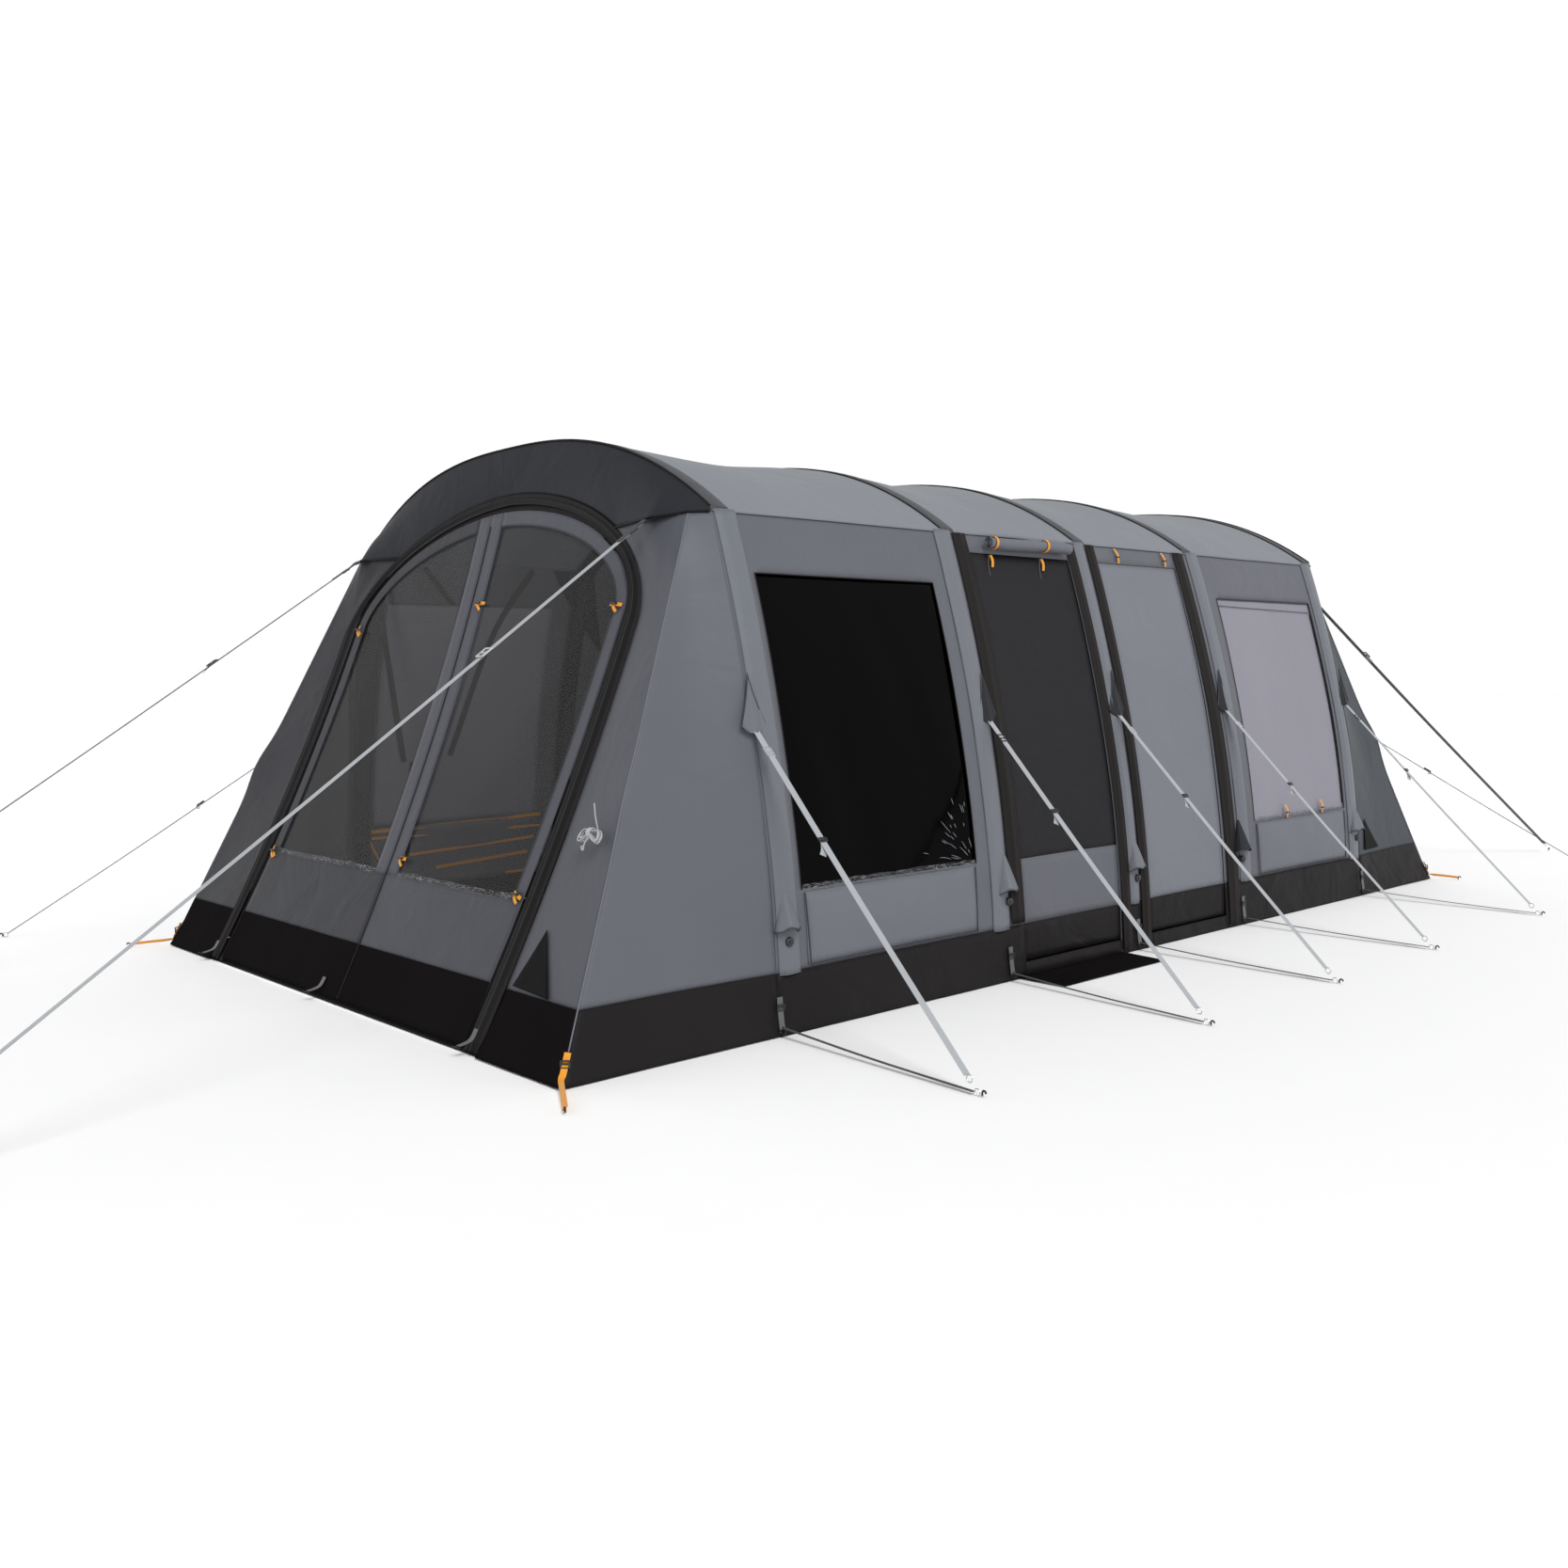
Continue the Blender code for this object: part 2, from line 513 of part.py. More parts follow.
def make_door_roll():
    """The side door's outer leaf, rolled up and tied over the opening."""
    mesh = cylinder("door_roll", ROLL_RADIUS, ROLL_RADIUS, ROLL_LENGTH)
    z = SHOULDER_HEIGHT - SIDE_DOOR_HEAD / 2
    x = float(wall_x(z - ROLL_RADIUS)) + FOLD + ROLL_RADIUS
    y = SIDE_DOOR_START + SIDE_DOOR_LENGTH * ROLL_MIDDLE
    roll = add_object("door_roll", mesh, "wall_fabric", (x, y, z))
    roll.rotation_euler = (math.pi / 2, 0, 0)


def slab(name, low, high, material, origin=(0, 0, 0)):
    """A closed box between two corners, with its origin where it turns."""
    mesh = bpy.data.meshes.new(name)
    body = bmesh.new()
    bmesh.ops.create_cube(body, size=1)
    size = np.array(high) - np.array(low)
    middle = (np.array(high) + np.array(low)) / 2 - np.array(origin)
    bmesh.ops.scale(body, vec=size, verts=body.verts[:])
    bmesh.ops.translate(body, vec=middle, verts=body.verts[:])
    body.to_mesh(mesh)
    body.free()
    return add_object(name, mesh, material, origin)


def make_floor():
    """The groundsheet inside the walls and the step mat outside the side door."""
    x = FOOT_HALF_WIDTH - 2 * FABRIC - SEAM
    y = HALF_LENGTH - 3 * FABRIC - SEAM
    slab("groundsheet", (-x, -y, 0), (x, y, GROUNDSHEET), "groundsheet")
    start = FOOT_HALF_WIDTH + FOLD * 2
    first = SIDE_DOOR_START + (SIDE_DOOR_LENGTH - MAT_LENGTH) / 2 + MAT_OFFSET
    origin = (start, first + MAT_LENGTH / 2, MAT_THICKNESS / 2)
    far = (start + MAT_DEPTH, first + MAT_LENGTH, MAT_THICKNESS)
    slab("step_mat", (start, first, 0), far, "groundsheet", origin)


def inner_solid(name, inset):
    """The bedroom's closed outline, drawn in by an inset all round."""
    corners = [(INNER_HALF_WIDTH, INNER_LIFT), INNER_SHOULDER, INNER_HIP, (0, INNER_RIDGE)]
    half = [(x - inset if x else 0, z + inset if z == INNER_LIFT else z - inset) for x, z in corners]
    outline = half + [(-x, z) for x, z in half[-2::-1]]
    body = bmesh.new()
    back = INNER_FRONT + INNER_FOOT_DEPTH - inset
    front_ring = [body.verts.new((x, INNER_FRONT + inset, z)) for x, z in outline]
    back_ring = [body.verts.new((x, back - INNER_BACK_LEAN * z, z)) for x, z in outline]
    body.faces.new(front_ring)
    body.faces.new(back_ring[::-1])
    for i in range(len(outline)):
        k = (i + 1) % len(outline)
        body.faces.new((front_ring[k], front_ring[i], back_ring[i], back_ring[k]))
    bmesh.ops.recalc_face_normals(body, faces=body.faces[:])
    mesh = bpy.data.meshes.new(name)
    body.to_mesh(mesh)
    body.free()
    return mesh


def cutter(name, mesh):
    """A hidden solid that a Boolean takes away."""
    thing = bpy.data.objects.new(name, mesh)
    thing.hide_render = True
    thing.display_type = "WIRE"
    CUTTERS.objects.link(thing)
    return thing


def make_inner_tent():
    """The bedroom: a hollow inner tent with a doorway towards the living space."""
    inner = add_object("inner_tent", inner_solid("inner_tent", 0), "inner_fabric")
    hollow = cutter("inner_hollow", inner_solid("inner_hollow", FABRIC))
    half_width, bottom, top = INNER_DOOR
    mesh = bpy.data.meshes.new("inner_doorway")
    body = bmesh.new()
    bmesh.ops.create_cube(body, size=1)
    bmesh.ops.scale(body, vec=(2 * half_width, CUT_DEPTH, top - bottom), verts=body.verts[:])
    bmesh.ops.translate(body, vec=(0, INNER_FRONT, (top + bottom) / 2), verts=body.verts[:])
    body.to_mesh(mesh)
    body.free()
    doorway = cutter("inner_doorway", mesh)
    for label, tool in (("hollow", hollow), ("doorway", doorway)):
        cut = inner.modifiers.new(label, "BOOLEAN")
        cut.operation = "DIFFERENCE"
        cut.object = tool


def smooth_route(points, count):
    """Points along a Catmull-Rom curve through a route's own points."""
    route = np.array(points)
    ends = np.concatenate([[2 * route[0] - route[1]], route, [2 * route[-1] - route[-2]]])
    out = []
    for place in np.linspace(0, len(route) - 1, count):
        i = min(int(place), len(route) - 2)
        t = place - i
        a, b, c, d = ends[i : i + 4]
        bend = (2 * a - 5 * b + 4 * c - d) * t**2 + (3 * b - a - 3 * c + d) * t**3
        out.append((2 * b + (c - a) * t + bend) / 2)
    return out


def make_straps():
    """The free straps and ropes, taut to their pegs, and the spare corner rope in its hank."""
    kinds = (
        (STRAPS, STRAP_WIDTH, "webbing"),
        (LOW_STRAPS, LOW_STRAP_WIDTH, "low_webbing"),
        (ROPES, ROPE, "rope"),
    )
    for routes, width, material in kinds:
        for name, points in routes.items():
            tube(name, smooth_route(points, ROUTE_POINTS), width / 2, material)
    width, length, thickness = HANK_SIZE
    curve = bpy.data.curves.new("corner_rope_hank", "CURVE")
    curve.dimensions = "2D"
    curve.fill_mode = "BOTH"
    curve.extrude = thickness / 2
    line = curve.splines.new("POLY")
    radius = width / 2
    outline = []
    for middle, start in ((length / 2 - radius, 0), (radius - length / 2, math.pi)):
        for angle in np.linspace(start, start + math.pi, 9):
            outline.append((radius * math.cos(angle), middle + radius * math.sin(angle)))
    line.points.add(len(outline) - 1)
    line.use_cyclic_u = True
    for point, place in zip(line.points, outline):
        point.co = (*place, 0, 1)
    hank = add_object("corner_rope_hank", curve, "rope", HANK_PLACE)
    hank.rotation_euler = (math.pi / 2 - math.atan(FACE_SLOPE), 0, 0)


make_roof()
make_side_walls()
make_door_leaves()
make_corners()
make_hoods()
make_rear_wall()
make_beams()
make_valves()
make_door_roll()
make_floor()
make_inner_tent()
make_straps()
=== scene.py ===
import math

import bpy
import numpy as np
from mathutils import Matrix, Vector


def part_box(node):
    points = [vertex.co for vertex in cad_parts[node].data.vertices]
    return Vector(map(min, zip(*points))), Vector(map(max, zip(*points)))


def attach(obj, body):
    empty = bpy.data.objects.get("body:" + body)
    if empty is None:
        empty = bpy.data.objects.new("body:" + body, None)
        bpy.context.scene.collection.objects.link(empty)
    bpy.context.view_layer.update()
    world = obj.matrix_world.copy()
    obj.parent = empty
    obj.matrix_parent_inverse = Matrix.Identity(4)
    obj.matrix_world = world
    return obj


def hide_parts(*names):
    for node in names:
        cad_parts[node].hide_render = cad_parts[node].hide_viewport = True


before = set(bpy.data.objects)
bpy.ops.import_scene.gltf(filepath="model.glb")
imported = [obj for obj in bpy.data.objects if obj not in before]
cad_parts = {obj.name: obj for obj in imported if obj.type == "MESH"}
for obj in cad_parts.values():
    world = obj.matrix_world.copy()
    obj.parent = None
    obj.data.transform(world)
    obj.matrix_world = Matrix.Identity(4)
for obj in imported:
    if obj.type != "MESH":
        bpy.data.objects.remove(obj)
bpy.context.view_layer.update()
print("frame loaded:", len(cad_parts), "nodes")


# Sizes, from the frame where it has them.
def boxLow(node, axis):
    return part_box(node)[0][axis]


def boxHigh(node, axis):
    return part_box(node)[1][axis]


beamPlanes = [(boxLow(f"air_beam_{i}", 1) + boxHigh(f"air_beam_{i}", 1)) / 2 for i in range(1, 6)]
seamPlanes = [boxLow("roof_bay_1", 1), *beamPlanes[1:4], boxHigh("roof_bay_4", 1)]

tent = {
    "footHalf": boxHigh("right_wall_front", 0),
    "shoulderHalf": 1.254,
    "shoulder": boxHigh("right_wall_front", 2),
    "ridge": boxHigh("roof_bay_1", 2),
    "wallPower": 1.9,
    "roofPower": 2.6,
    "endSeam": -seamPlanes[0],
    "halfLength": -boxLow("front_corner_right", 1),
    "faceCurve": 0.06,
    "doorTop": 1.845,
    "skirt": 0.205,
    "sill": 0.47,
    "clothThickness": 0.0012,
}
tent["faceSlope"] = 0.841 / 1.88 + tent["faceCurve"] * 1.88
doorArch = {"half": 1.0, "spring": 1.41, "top": tent["doorTop"], "power": 1.85, "join": 0.738}
bandArch = {"half": 1.1, "spring": 1.36, "top": 1.907, "power": 1.85, "join": 0.8}
paneArch = {"half": 0.94, "spring": 1.41, "top": 1.785, "power": 1.85, "join": 0.7}
hoodTip = np.array((1.07, tent["endSeam"] + 0.118, 1.72))
creaseTop = np.array((1.2, tent["endSeam"] + 0.048, 1.735))


# Finishes, each named for the real material; a few are lighter or darker copies of one cloth that paint
# light or shade, as said where they stand.
def linear(hexColour):
    """sRGB hex to linear colour."""
    value = np.array([int(hexColour[i : i + 2], 16) for i in (1, 3, 5)]) / 255
    value = np.where(value <= 0.04045, value / 12.92, ((value + 0.055) / 1.055) ** 2.4)
    return (*value, 1.0)


def addNode(material, kind, settings=None, links=None):
    """A node with its settings, by property or input name, and the outputs that feed its inputs."""
    node = material.node_tree.nodes.new(kind)
    for name, value in (settings or {}).items():
        if hasattr(node, name):
            setattr(node, name, value)
        else:
            node.inputs[name].default_value = value
    for name, output in (links or {}).items():
        material.node_tree.links.new(output, node.inputs[name])
    return node


def newFinish(name, roughness, specular=0.4, metallic=0.0, alpha=1.0, sheen=0.0, colour="#808080"):
    material = bpy.data.materials.new(name)
    material.use_nodes = True
    shader = material.node_tree.nodes["Principled BSDF"]
    settings = {
        "Base Color": linear(colour),
        "Roughness": roughness,
        "Specular IOR Level": specular,
        "Metallic": metallic,
        "Alpha": alpha,
        "Sheen Weight": sheen,
    }
    for key, value in settings.items():
        shader.inputs[key].default_value = value
    return material, shader


# A wave texture's bands are this many millimetres apart, over its scale.
waveMm = 314.0
meshMm = 5.0


def join(material, output, shader, socket):
    material.node_tree.links.new(output, shader.inputs[socket])


def addTone(material, factor, shade, colour):
    tone = addNode(material, "ShaderNodeMix", {"data_type": "RGBA"}, {"Factor": factor})
    tone.inputs["A"].default_value = linear(shade)
    tone.inputs["B"].default_value = linear(colour)
    return tone.outputs["Result"]


def addWave(material, place, direction, scale, distortion=0.0):
    settings = {"bands_direction": direction, "Scale": scale, "Distortion": distortion}
    wave = addNode(material, "ShaderNodeTexWave", settings, {"Vector": place.outputs["UV"]})
    return wave.outputs["Fac"]


def addNoise(material, vector, settings):
    return addNode(material, "ShaderNodeTexNoise", settings, {"Vector": vector}).outputs["Fac"]


def addBump(material, strength, distance, height, normal=None):
    links = {"Height": height}
    if normal is not None:
        links["Normal"] = normal
    settings = {"Strength": strength, "Distance": distance}
    return addNode(material, "ShaderNodeBump", settings, links).outputs["Normal"]


def wovenCloth(name, colour, shade, threadMm=4.0, roughness=0.62, crease=0.35, sheen=0.05, specular=0.25):
    """Coated polyester cloth: a plain weave with soft creases and slow changes of tone.
    The real thread is 0.3 mm; it is drawn 4 mm coarse so that it shows."""
    material, shader = newFinish(name, roughness, specular, sheen=sheen)
    place = addNode(material, "ShaderNodeTexCoord")
    cloud = addNoise(material, place.outputs["Object"], {"Scale": 1.7, "Detail": 4.0})
    tone = addTone(material, cloud, shade, colour)
    warp = addWave(material, place, "X", waveMm / threadMm)
    weft = addWave(material, place, "Y", waveMm / threadMm)
    weave = addNode(material, "ShaderNodeMath", {"operation": "MULTIPLY"}, {0: warp, 1: weft})
    fine = addBump(material, 0.05, 0.001, weave.outputs["Value"])
    folds = {"Scale": 3.8, "Detail": 3.0, "Roughness": 0.5, "Distortion": 0.9}
    creases = addNoise(material, place.outputs["Object"], folds)
    join(material, tone, shader, "Base Color")
    join(material, addBump(material, crease, 0.03, creases, fine), shader, "Normal")
    return material


def windowFilm(name, colour, alpha, roughness, crinkle, scale, specular):
    """Clear or tinted PVC film: glossy, with small crinkles that break up its reflections."""
    material, shader = newFinish(name, roughness, specular, alpha=alpha, colour=colour)
    place = addNode(material, "ShaderNodeTexCoord")
    stretch = {"Scale": (1.0, 1.0, 0.35)}
    turn = addNode(material, "ShaderNodeMapping", stretch, {"Vector": place.outputs["Object"]})
    folds = {"Scale": scale, "Detail": 2.0, "Roughness": 0.45, "Distortion": 1.0}
    rough = addNoise(material, turn.outputs["Vector"], folds)
    join(material, addBump(material, crinkle, 0.01, rough), shader, "Normal")
    return material


def crinkledFilm(name):
    """The gathered hem of the clear film: pale streaks where it folds, see-through between them."""
    material, shader = newFinish(name, 0.22, 0.35, colour="#8E9094")
    place = addNode(material, "ShaderNodeTexCoord")
    stretch = {"Scale": (1.0, 1.0, 3.0)}
    turn = addNode(material, "ShaderNodeMapping", stretch, {"Vector": place.outputs["Object"]})
    folds = {"Scale": 24.0, "Detail": 6.0, "Roughness": 0.7, "Distortion": 2.2}
    streaks = addNoise(material, turn.outputs["Vector"], folds)
    ramp = addNode(material, "ShaderNodeValToRGB", {}, {"Fac": streaks})
    for stop, position, level in zip(ramp.color_ramp.elements, (0.5, 0.68), (0.06, 0.7)):
        stop.position = position
        stop.color = (level, level, level, 1)
    join(material, ramp.outputs["Color"], shader, "Alpha")
    join(material, addBump(material, 0.8, 0.01, streaks), shader, "Normal")
    return material


def ribbedWebbing(name, colour, shade, ribMm=3.0, roughness=0.6):
    """Woven polyester tape, with ribs across it that change its tone."""
    material, shader = newFinish(name, roughness, 0.35, sheen=0.15)
    place = addNode(material, "ShaderNodeTexCoord")
    ribs = addWave(material, place, "Y", waveMm / ribMm, 0.4)
    join(material, addTone(material, ribs, shade, colour), shader, "Base Color")
    join(material, addBump(material, 0.3, 0.001, ribs), shader, "Normal")
    return material


def solidFinish(name, colour, shade, roughness, metallic=0.0, grainMm=2.0, grain=0.15):
    """Moulded plastic or bare metal, with a fine grain and slight changes of tone."""
    material, shader = newFinish(name, roughness, 0.5, metallic)
    place = addNode(material, "ShaderNodeTexCoord")
    speck = addNoise(material, place.outputs["Object"], {"Scale": 1000.0 / grainMm / 4, "Detail": 2.0})
    join(material, addTone(material, speck, shade, colour), shader, "Base Color")
    join(material, addBump(material, grain, 0.0005, speck), shader, "Normal")
    return material


def doorMesh(name):
    """Knitted insect mesh: near black, with a fine grid that lets some light through."""
    material, shader = newFinish(name, 0.75, 0.08, colour="#2A292B")
    place = addNode(material, "ShaderNodeTexCoord")
    grid = [addWave(material, place, direction, waveMm / meshMm) for direction in ("X", "Y")]
    thread = addNode(material, "ShaderNodeMath", {"operation": "MAXIMUM"}, {0: grid[0], 1: grid[1]})
    limits = {"From Min": 0.2, "From Max": 0.8, "To Min": 0.72, "To Max": 0.97}
    seen = addNode(material, "ShaderNodeMapRange", limits, {"Value": thread.outputs["Value"]})
    join(material, seen.outputs["Result"], shader, "Alpha")
    join(material, addBump(material, 0.2, 0.001, thread.outputs["Value"]), shader, "Normal")
    return material


finish = {
    "roof": wovenCloth("coatedPolyesterRoof", "#797D83", "#72767C", roughness=0.66),
    "wall": wovenCloth("coatedPolyesterWall", "#5C5E65", "#54565D", roughness=0.52),
    "panelCloth": wovenCloth("coatedPolyesterPanel", "#6E7078", "#64676F", roughness=0.52),
    "sleeve": wovenCloth("coatedPolyesterSleeve", "#686B72", "#60646A", roughness=0.48),
    "face": wovenCloth("coatedPolyesterFace", "#474951", "#41424A", roughness=0.55),
    "hood": wovenCloth("coatedPolyesterHood", "#2A2B2F", "#24262B", roughness=0.5, sheen=0.0, specular=0.1),
    # roofBandShaded: darker than the roof cloth, painted as the shade seen along each seam.
    "roofBandShaded": wovenCloth("coatedPolyesterRoofBandShade", "#43454A", "#3C3E43", roughness=0.62),
    "cornerFace": wovenCloth("coatedPolyesterCorner", "#4B4E55", "#45464E", roughness=0.52),
    # faceLeftShaded: the leaf cloth again, painted darker as shade for the left leaf.
    "faceLeftShaded": wovenCloth("coatedPolyesterFacePaintedShade", "#2F3035", "#2B2C31", roughness=0.6),
    # cornerLeftShaded: the corner cloth again, painted darker as shade for the front left corner.
    "cornerLeftShaded": wovenCloth("coatedPolyesterCornerPaintedShade", "#2F2F34", "#2A2B2F", roughness=0.6),
    # cornerRearShaded: the wall cloth again, painted darker as shade for both rear corners.
    "cornerRearShaded": wovenCloth("coatedPolyesterRearPaintedShade", "#383C42", "#33373D", roughness=0.6),
    "faceFoot": wovenCloth("coatedPolyesterDoorFoot", "#404148", "#3A3B42", roughness=0.55),
    "patch": wovenCloth("sewnPatch", "#131214", "#0E0D0F", roughness=0.6, crease=0.1, sheen=0.0,
                        specular=0.06),
    # creaseHighlight: a lighter colour for the rod along each corner's crease, a painted highlight.
    "creaseHighlight": wovenCloth("paintedCreaseHighlight", "#6B6D73", "#62656B", roughness=0.45, crease=0.1),
    "band": wovenCloth("zipCover", "#1A191A", "#151415", roughness=0.5, crease=0.2, sheen=0.0,
                       specular=0.1),
    "zipTape": wovenCloth("zipTape", "#242020", "#1D1A1A", roughness=0.6, crease=0.15, sheen=0.0,
                          specular=0.1),
    # skirt and skirtLit are one black PVC: skirt, the darker copy, is painted shade on the front and rear
    # faces and the step mat; skirtLit, the lighter copy, is painted light on the sides.
    "skirt": wovenCloth("pvcMudSkirt", "#171516", "#110F10", roughness=0.85, crease=0.5, sheen=0.0,
                        specular=0.01),
    "skirtLit": wovenCloth("pvcMudSkirtLit", "#232122", "#1B191A", roughness=0.45, crease=0.5, sheen=0.0,
                            specular=0.06),
    "curtain": wovenCloth("curtainLining", "#83828C", "#7B7A83", roughness=0.6),
    "pocket": wovenCloth("coatedPolyesterPocket", "#666870", "#5E6068", roughness=0.55),
    "inner": wovenCloth("breathableInnerCloth", "#45454A", "#3B3B3F", roughness=0.75),
    "floor": wovenCloth("wovenPeGroundsheet", "#2A2A2C", "#202022", roughness=0.6, crease=0.4, sheen=0.0,
                        specular=0.06),
    "beam": wovenCloth("beamSleeveCloth", "#2C2D31", "#242529", roughness=0.6, crease=0.1, sheen=0.0,
                       specular=0.1),
    "mesh": doorMesh("insectMesh"),
    "tinted": windowFilm("tintedPvcFilm", "#010102", 0.965, 0.12, 0.2, 3.0, 0.04),
    "clear": windowFilm("smokyPvcFilm", "#2A2928", 0.45, 0.14, 0.1, 3.0, 0.1),
    "crinkle": crinkledFilm("gatheredPvcHem"),
    "strap": ribbedWebbing("greyWebbing", "#A6A9AC", "#93969B"),
    # lowAndShadedStrap: dark webbing for the ground straps, and the same colour painted as shade on the left
    # hood strap and the rear strap.
    "lowAndShadedStrap": ribbedWebbing("darkWebbing", "#3A3B3F", "#2D2F33"),
    "loop": ribbedWebbing("hemWebbing", "#5D5E60", "#4B4D50"),
    "orange": ribbedWebbing("orangeWebbing", "#E59A1C", "#CC8412", roughness=0.5),
    "blackWeb": ribbedWebbing("blackWebbing", "#1E1E20", "#161618"),
    "rope": ribbedWebbing("braidedCord", "#C3C4C6", "#8D8E92", ribMm=6.0, roughness=0.75),
    "darkRope": ribbedWebbing("darkBraidedCord", "#5C5E61", "#3E4043", ribMm=6.0, roughness=0.75),
    "buckle": solidFinish("acetalBuckle", "#24252A", "#1B1C20", 0.35),
    "clearBuckle": solidFinish("nickelPlatedBuckle", "#C9CBCE", "#B5B7BA", 0.28, metallic=0.85),
    "valve": solidFinish("mouldedValve", "#2D302F", "#222524", 0.45),
    "peg": solidFinish("galvanisedPeg", "#444545", "#313132", 0.42, metallic=0.9, grain=0.3),
    # glint: pale lines, painted as highlights on the creased film.
    "glint": solidFinish("paintedFilmGlint", "#A9ADB3", "#7D8187", 0.25),
    "thread": solidFinish("seamThread", "#3B3D42", "#303237", 0.8),
}
print("materials:", len(finish))


# Shapes of the tent. Heights and half widths are in metres.
def wallX(z):
    """Half width at a height: a lean that grows as a power of the height."""
    lean = tent["footHalf"] - tent["shoulderHalf"]
    return tent["footHalf"] - lean * (np.maximum(z, 0) / tent["shoulder"]) ** tent["wallPower"]


def roofZ(x):
    """Height of the roof at a beam: a flattened arch between the shoulders."""
    share = np.minimum(np.abs(x) / tent["shoulderHalf"], 1)
    return tent["shoulder"] + (tent["ridge"] - tent["shoulder"]) * (1 - share ** tent["roofPower"])


def faceReach(z):
    """Distance of the porch's face from the middle: a lean that grows with height."""
    return tent["halfLength"] - tent["faceSlope"] * z + tent["faceCurve"] * z**2


def onFace(x, z, out=0.0, end=-1):
    """Points of the porch's face, moved out along its normal. end is -1 in front, 1 behind."""
    rise = tent["faceSlope"] - 2 * tent["faceCurve"] * z
    size = np.sqrt(1 + rise**2)
    x, z = np.broadcast_arrays(np.asarray(x, float), z)
    return np.stack([x, end * (faceReach(z) + out / size), z + out * rise / size], axis=-1)


def archHeight(x, arch):
    """Superellipse: height of an arched edge at a distance from the middle."""
    share = np.minimum(np.abs(x) / arch["half"], 1)
    rise = arch["top"] - arch["spring"]
    return arch["spring"] + rise * (1 - share ** arch["power"]) ** (1 / arch["power"])


def doorEdge(t, arch):
    """The door's edge by share of height: straight to 0.8, then along the arch to its join with the hood."""
    late = np.clip((t - 0.8) / 0.2, 0, 1)
    x = arch["half"] - (arch["half"] - arch["join"]) * late**2
    z = np.where(t <= 0.8, arch["spring"] * t / 0.8, archHeight(x, arch))
    return np.stack([x, faceReach(z), z], axis=-1)


def ripple(a, b, seed, waves=6, low=2.0, high=9.0):
    """A smooth uneven surface from -1 to 1: a sum of sine waves in seeded directions."""
    random = np.random.RandomState(seed)
    total = np.zeros(np.broadcast(a, b).shape)
    for _ in range(waves):
        count = random.uniform(low, high)
        angle = random.uniform(0, math.pi)
        phase = random.uniform(0, 2 * math.pi)
        total = total + np.sin(count * (a * math.cos(angle) + b * math.sin(angle)) + phase)
    return total / waves


def bayShare(y):
    """Share of the way through its bay, from seam to seam, at each y, and the bay's length."""
    seams = np.array(seamPlanes)
    bay = np.clip(np.searchsorted(seams, y) - 1, 0, 3)
    length = seams[bay + 1] - seams[bay]
    return np.clip((y - seams[bay]) / length, 0, 1), length


fly = {"wallSag": 0.014, "roofSag": 0.03, "roofSagPower": 3, "rippleSize": 0.0042, "foldSize": 0.0032}


def onWall(side, y, z, out=0.0):
    """Points of a side wall: leaning in with height, drawn in between the beams, with soft ripples."""
    y, z = np.broadcast_arrays(np.asarray(y, float), np.asarray(z, float))
    share, _ = bayShare(y)
    middle = np.sin(math.pi * np.clip(z / tent["shoulder"], 0, 1))
    sag = fly["wallSag"] * np.sin(math.pi * share) ** 2 * middle
    waves = fly["rippleSize"] * ripple(y * 1.2, z, 7 if side > 0 else 8) * middle
    folds = fly["foldSize"] * ripple(y * 3.1 + z * 0.9, z * 0.8, 9 if side > 0 else 10) * middle
    x = wallX(z) - sag + waves + folds + out
    return np.stack([side * x, y, z], axis=-1)


def onRoof(x, y, out=0.0):
    """Points of the roof: an arch at each seam, sagging like a saddle between them."""
    x, y = np.broadcast_arrays(np.asarray(x, float), np.asarray(y, float))
    share, _ = bayShare(y)
    edge = np.minimum(np.abs(x) / tent["shoulderHalf"], 1)
    sag = fly["roofSag"] * np.sin(math.pi * share) ** 2 * (1 - edge ** fly["roofSagPower"])
    waves = fly["rippleSize"] * 0.6 * ripple(x, y * 1.4, 11) * np.sin(math.pi * share) ** 2
    return np.stack([x, y, roofZ(x) - sag + waves + out], axis=-1)


def steps(*stops):
    """Values from stop to stop: (first, (next, cells), ...)."""
    values = [stops[0]]
    for stop, cells in stops[1:]:
        values += list(np.linspace(values[-1], stop, cells + 1)[1:])
    return np.array(values)


# Pieces: each is a grid of points, rows by columns.
def unit(v):
    return v / np.maximum(np.linalg.norm(v, axis=-1, keepdims=True), 1e-9)


def cellNormals(points):
    across = points[1:, 1:] - points[:-1, :-1]
    along = points[1:, :-1] - points[:-1, 1:]
    return np.cross(across, along)


def addMesh(name, points, faces, uv, material, smooth=True):
    """A mesh object from arrays of points, faces of four and a UV for each point."""
    mesh = bpy.data.meshes.new(name)
    mesh.vertices.add(len(points))
    mesh.vertices.foreach_set("co", points.astype(np.float32).ravel())
    mesh.loops.add(faces.size)
    mesh.loops.foreach_set("vertex_index", faces.astype(np.int32).ravel())
    mesh.polygons.add(len(faces))
    mesh.polygons.foreach_set("loop_start", np.arange(0, faces.size, 4, dtype=np.int32))
    layer = mesh.uv_layers.new(name="UVMap")
    mesh.update(calc_edges=True)
    layer.data.foreach_set("uv", uv[faces.ravel()].astype(np.float32).ravel())
    mesh.polygons.foreach_set("use_smooth", np.full(len(faces), smooth))
    mesh.materials.append(material)
    piece = bpy.data.objects.new(name, mesh)
    bpy.context.scene.collection.objects.link(piece)
    return piece


def settle(piece, body, replaced=()):
    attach(piece, body)
    if replaced:
        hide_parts(*replaced)
    return piece


middleOfTent = np.array((0.0, 0.0, 0.9))


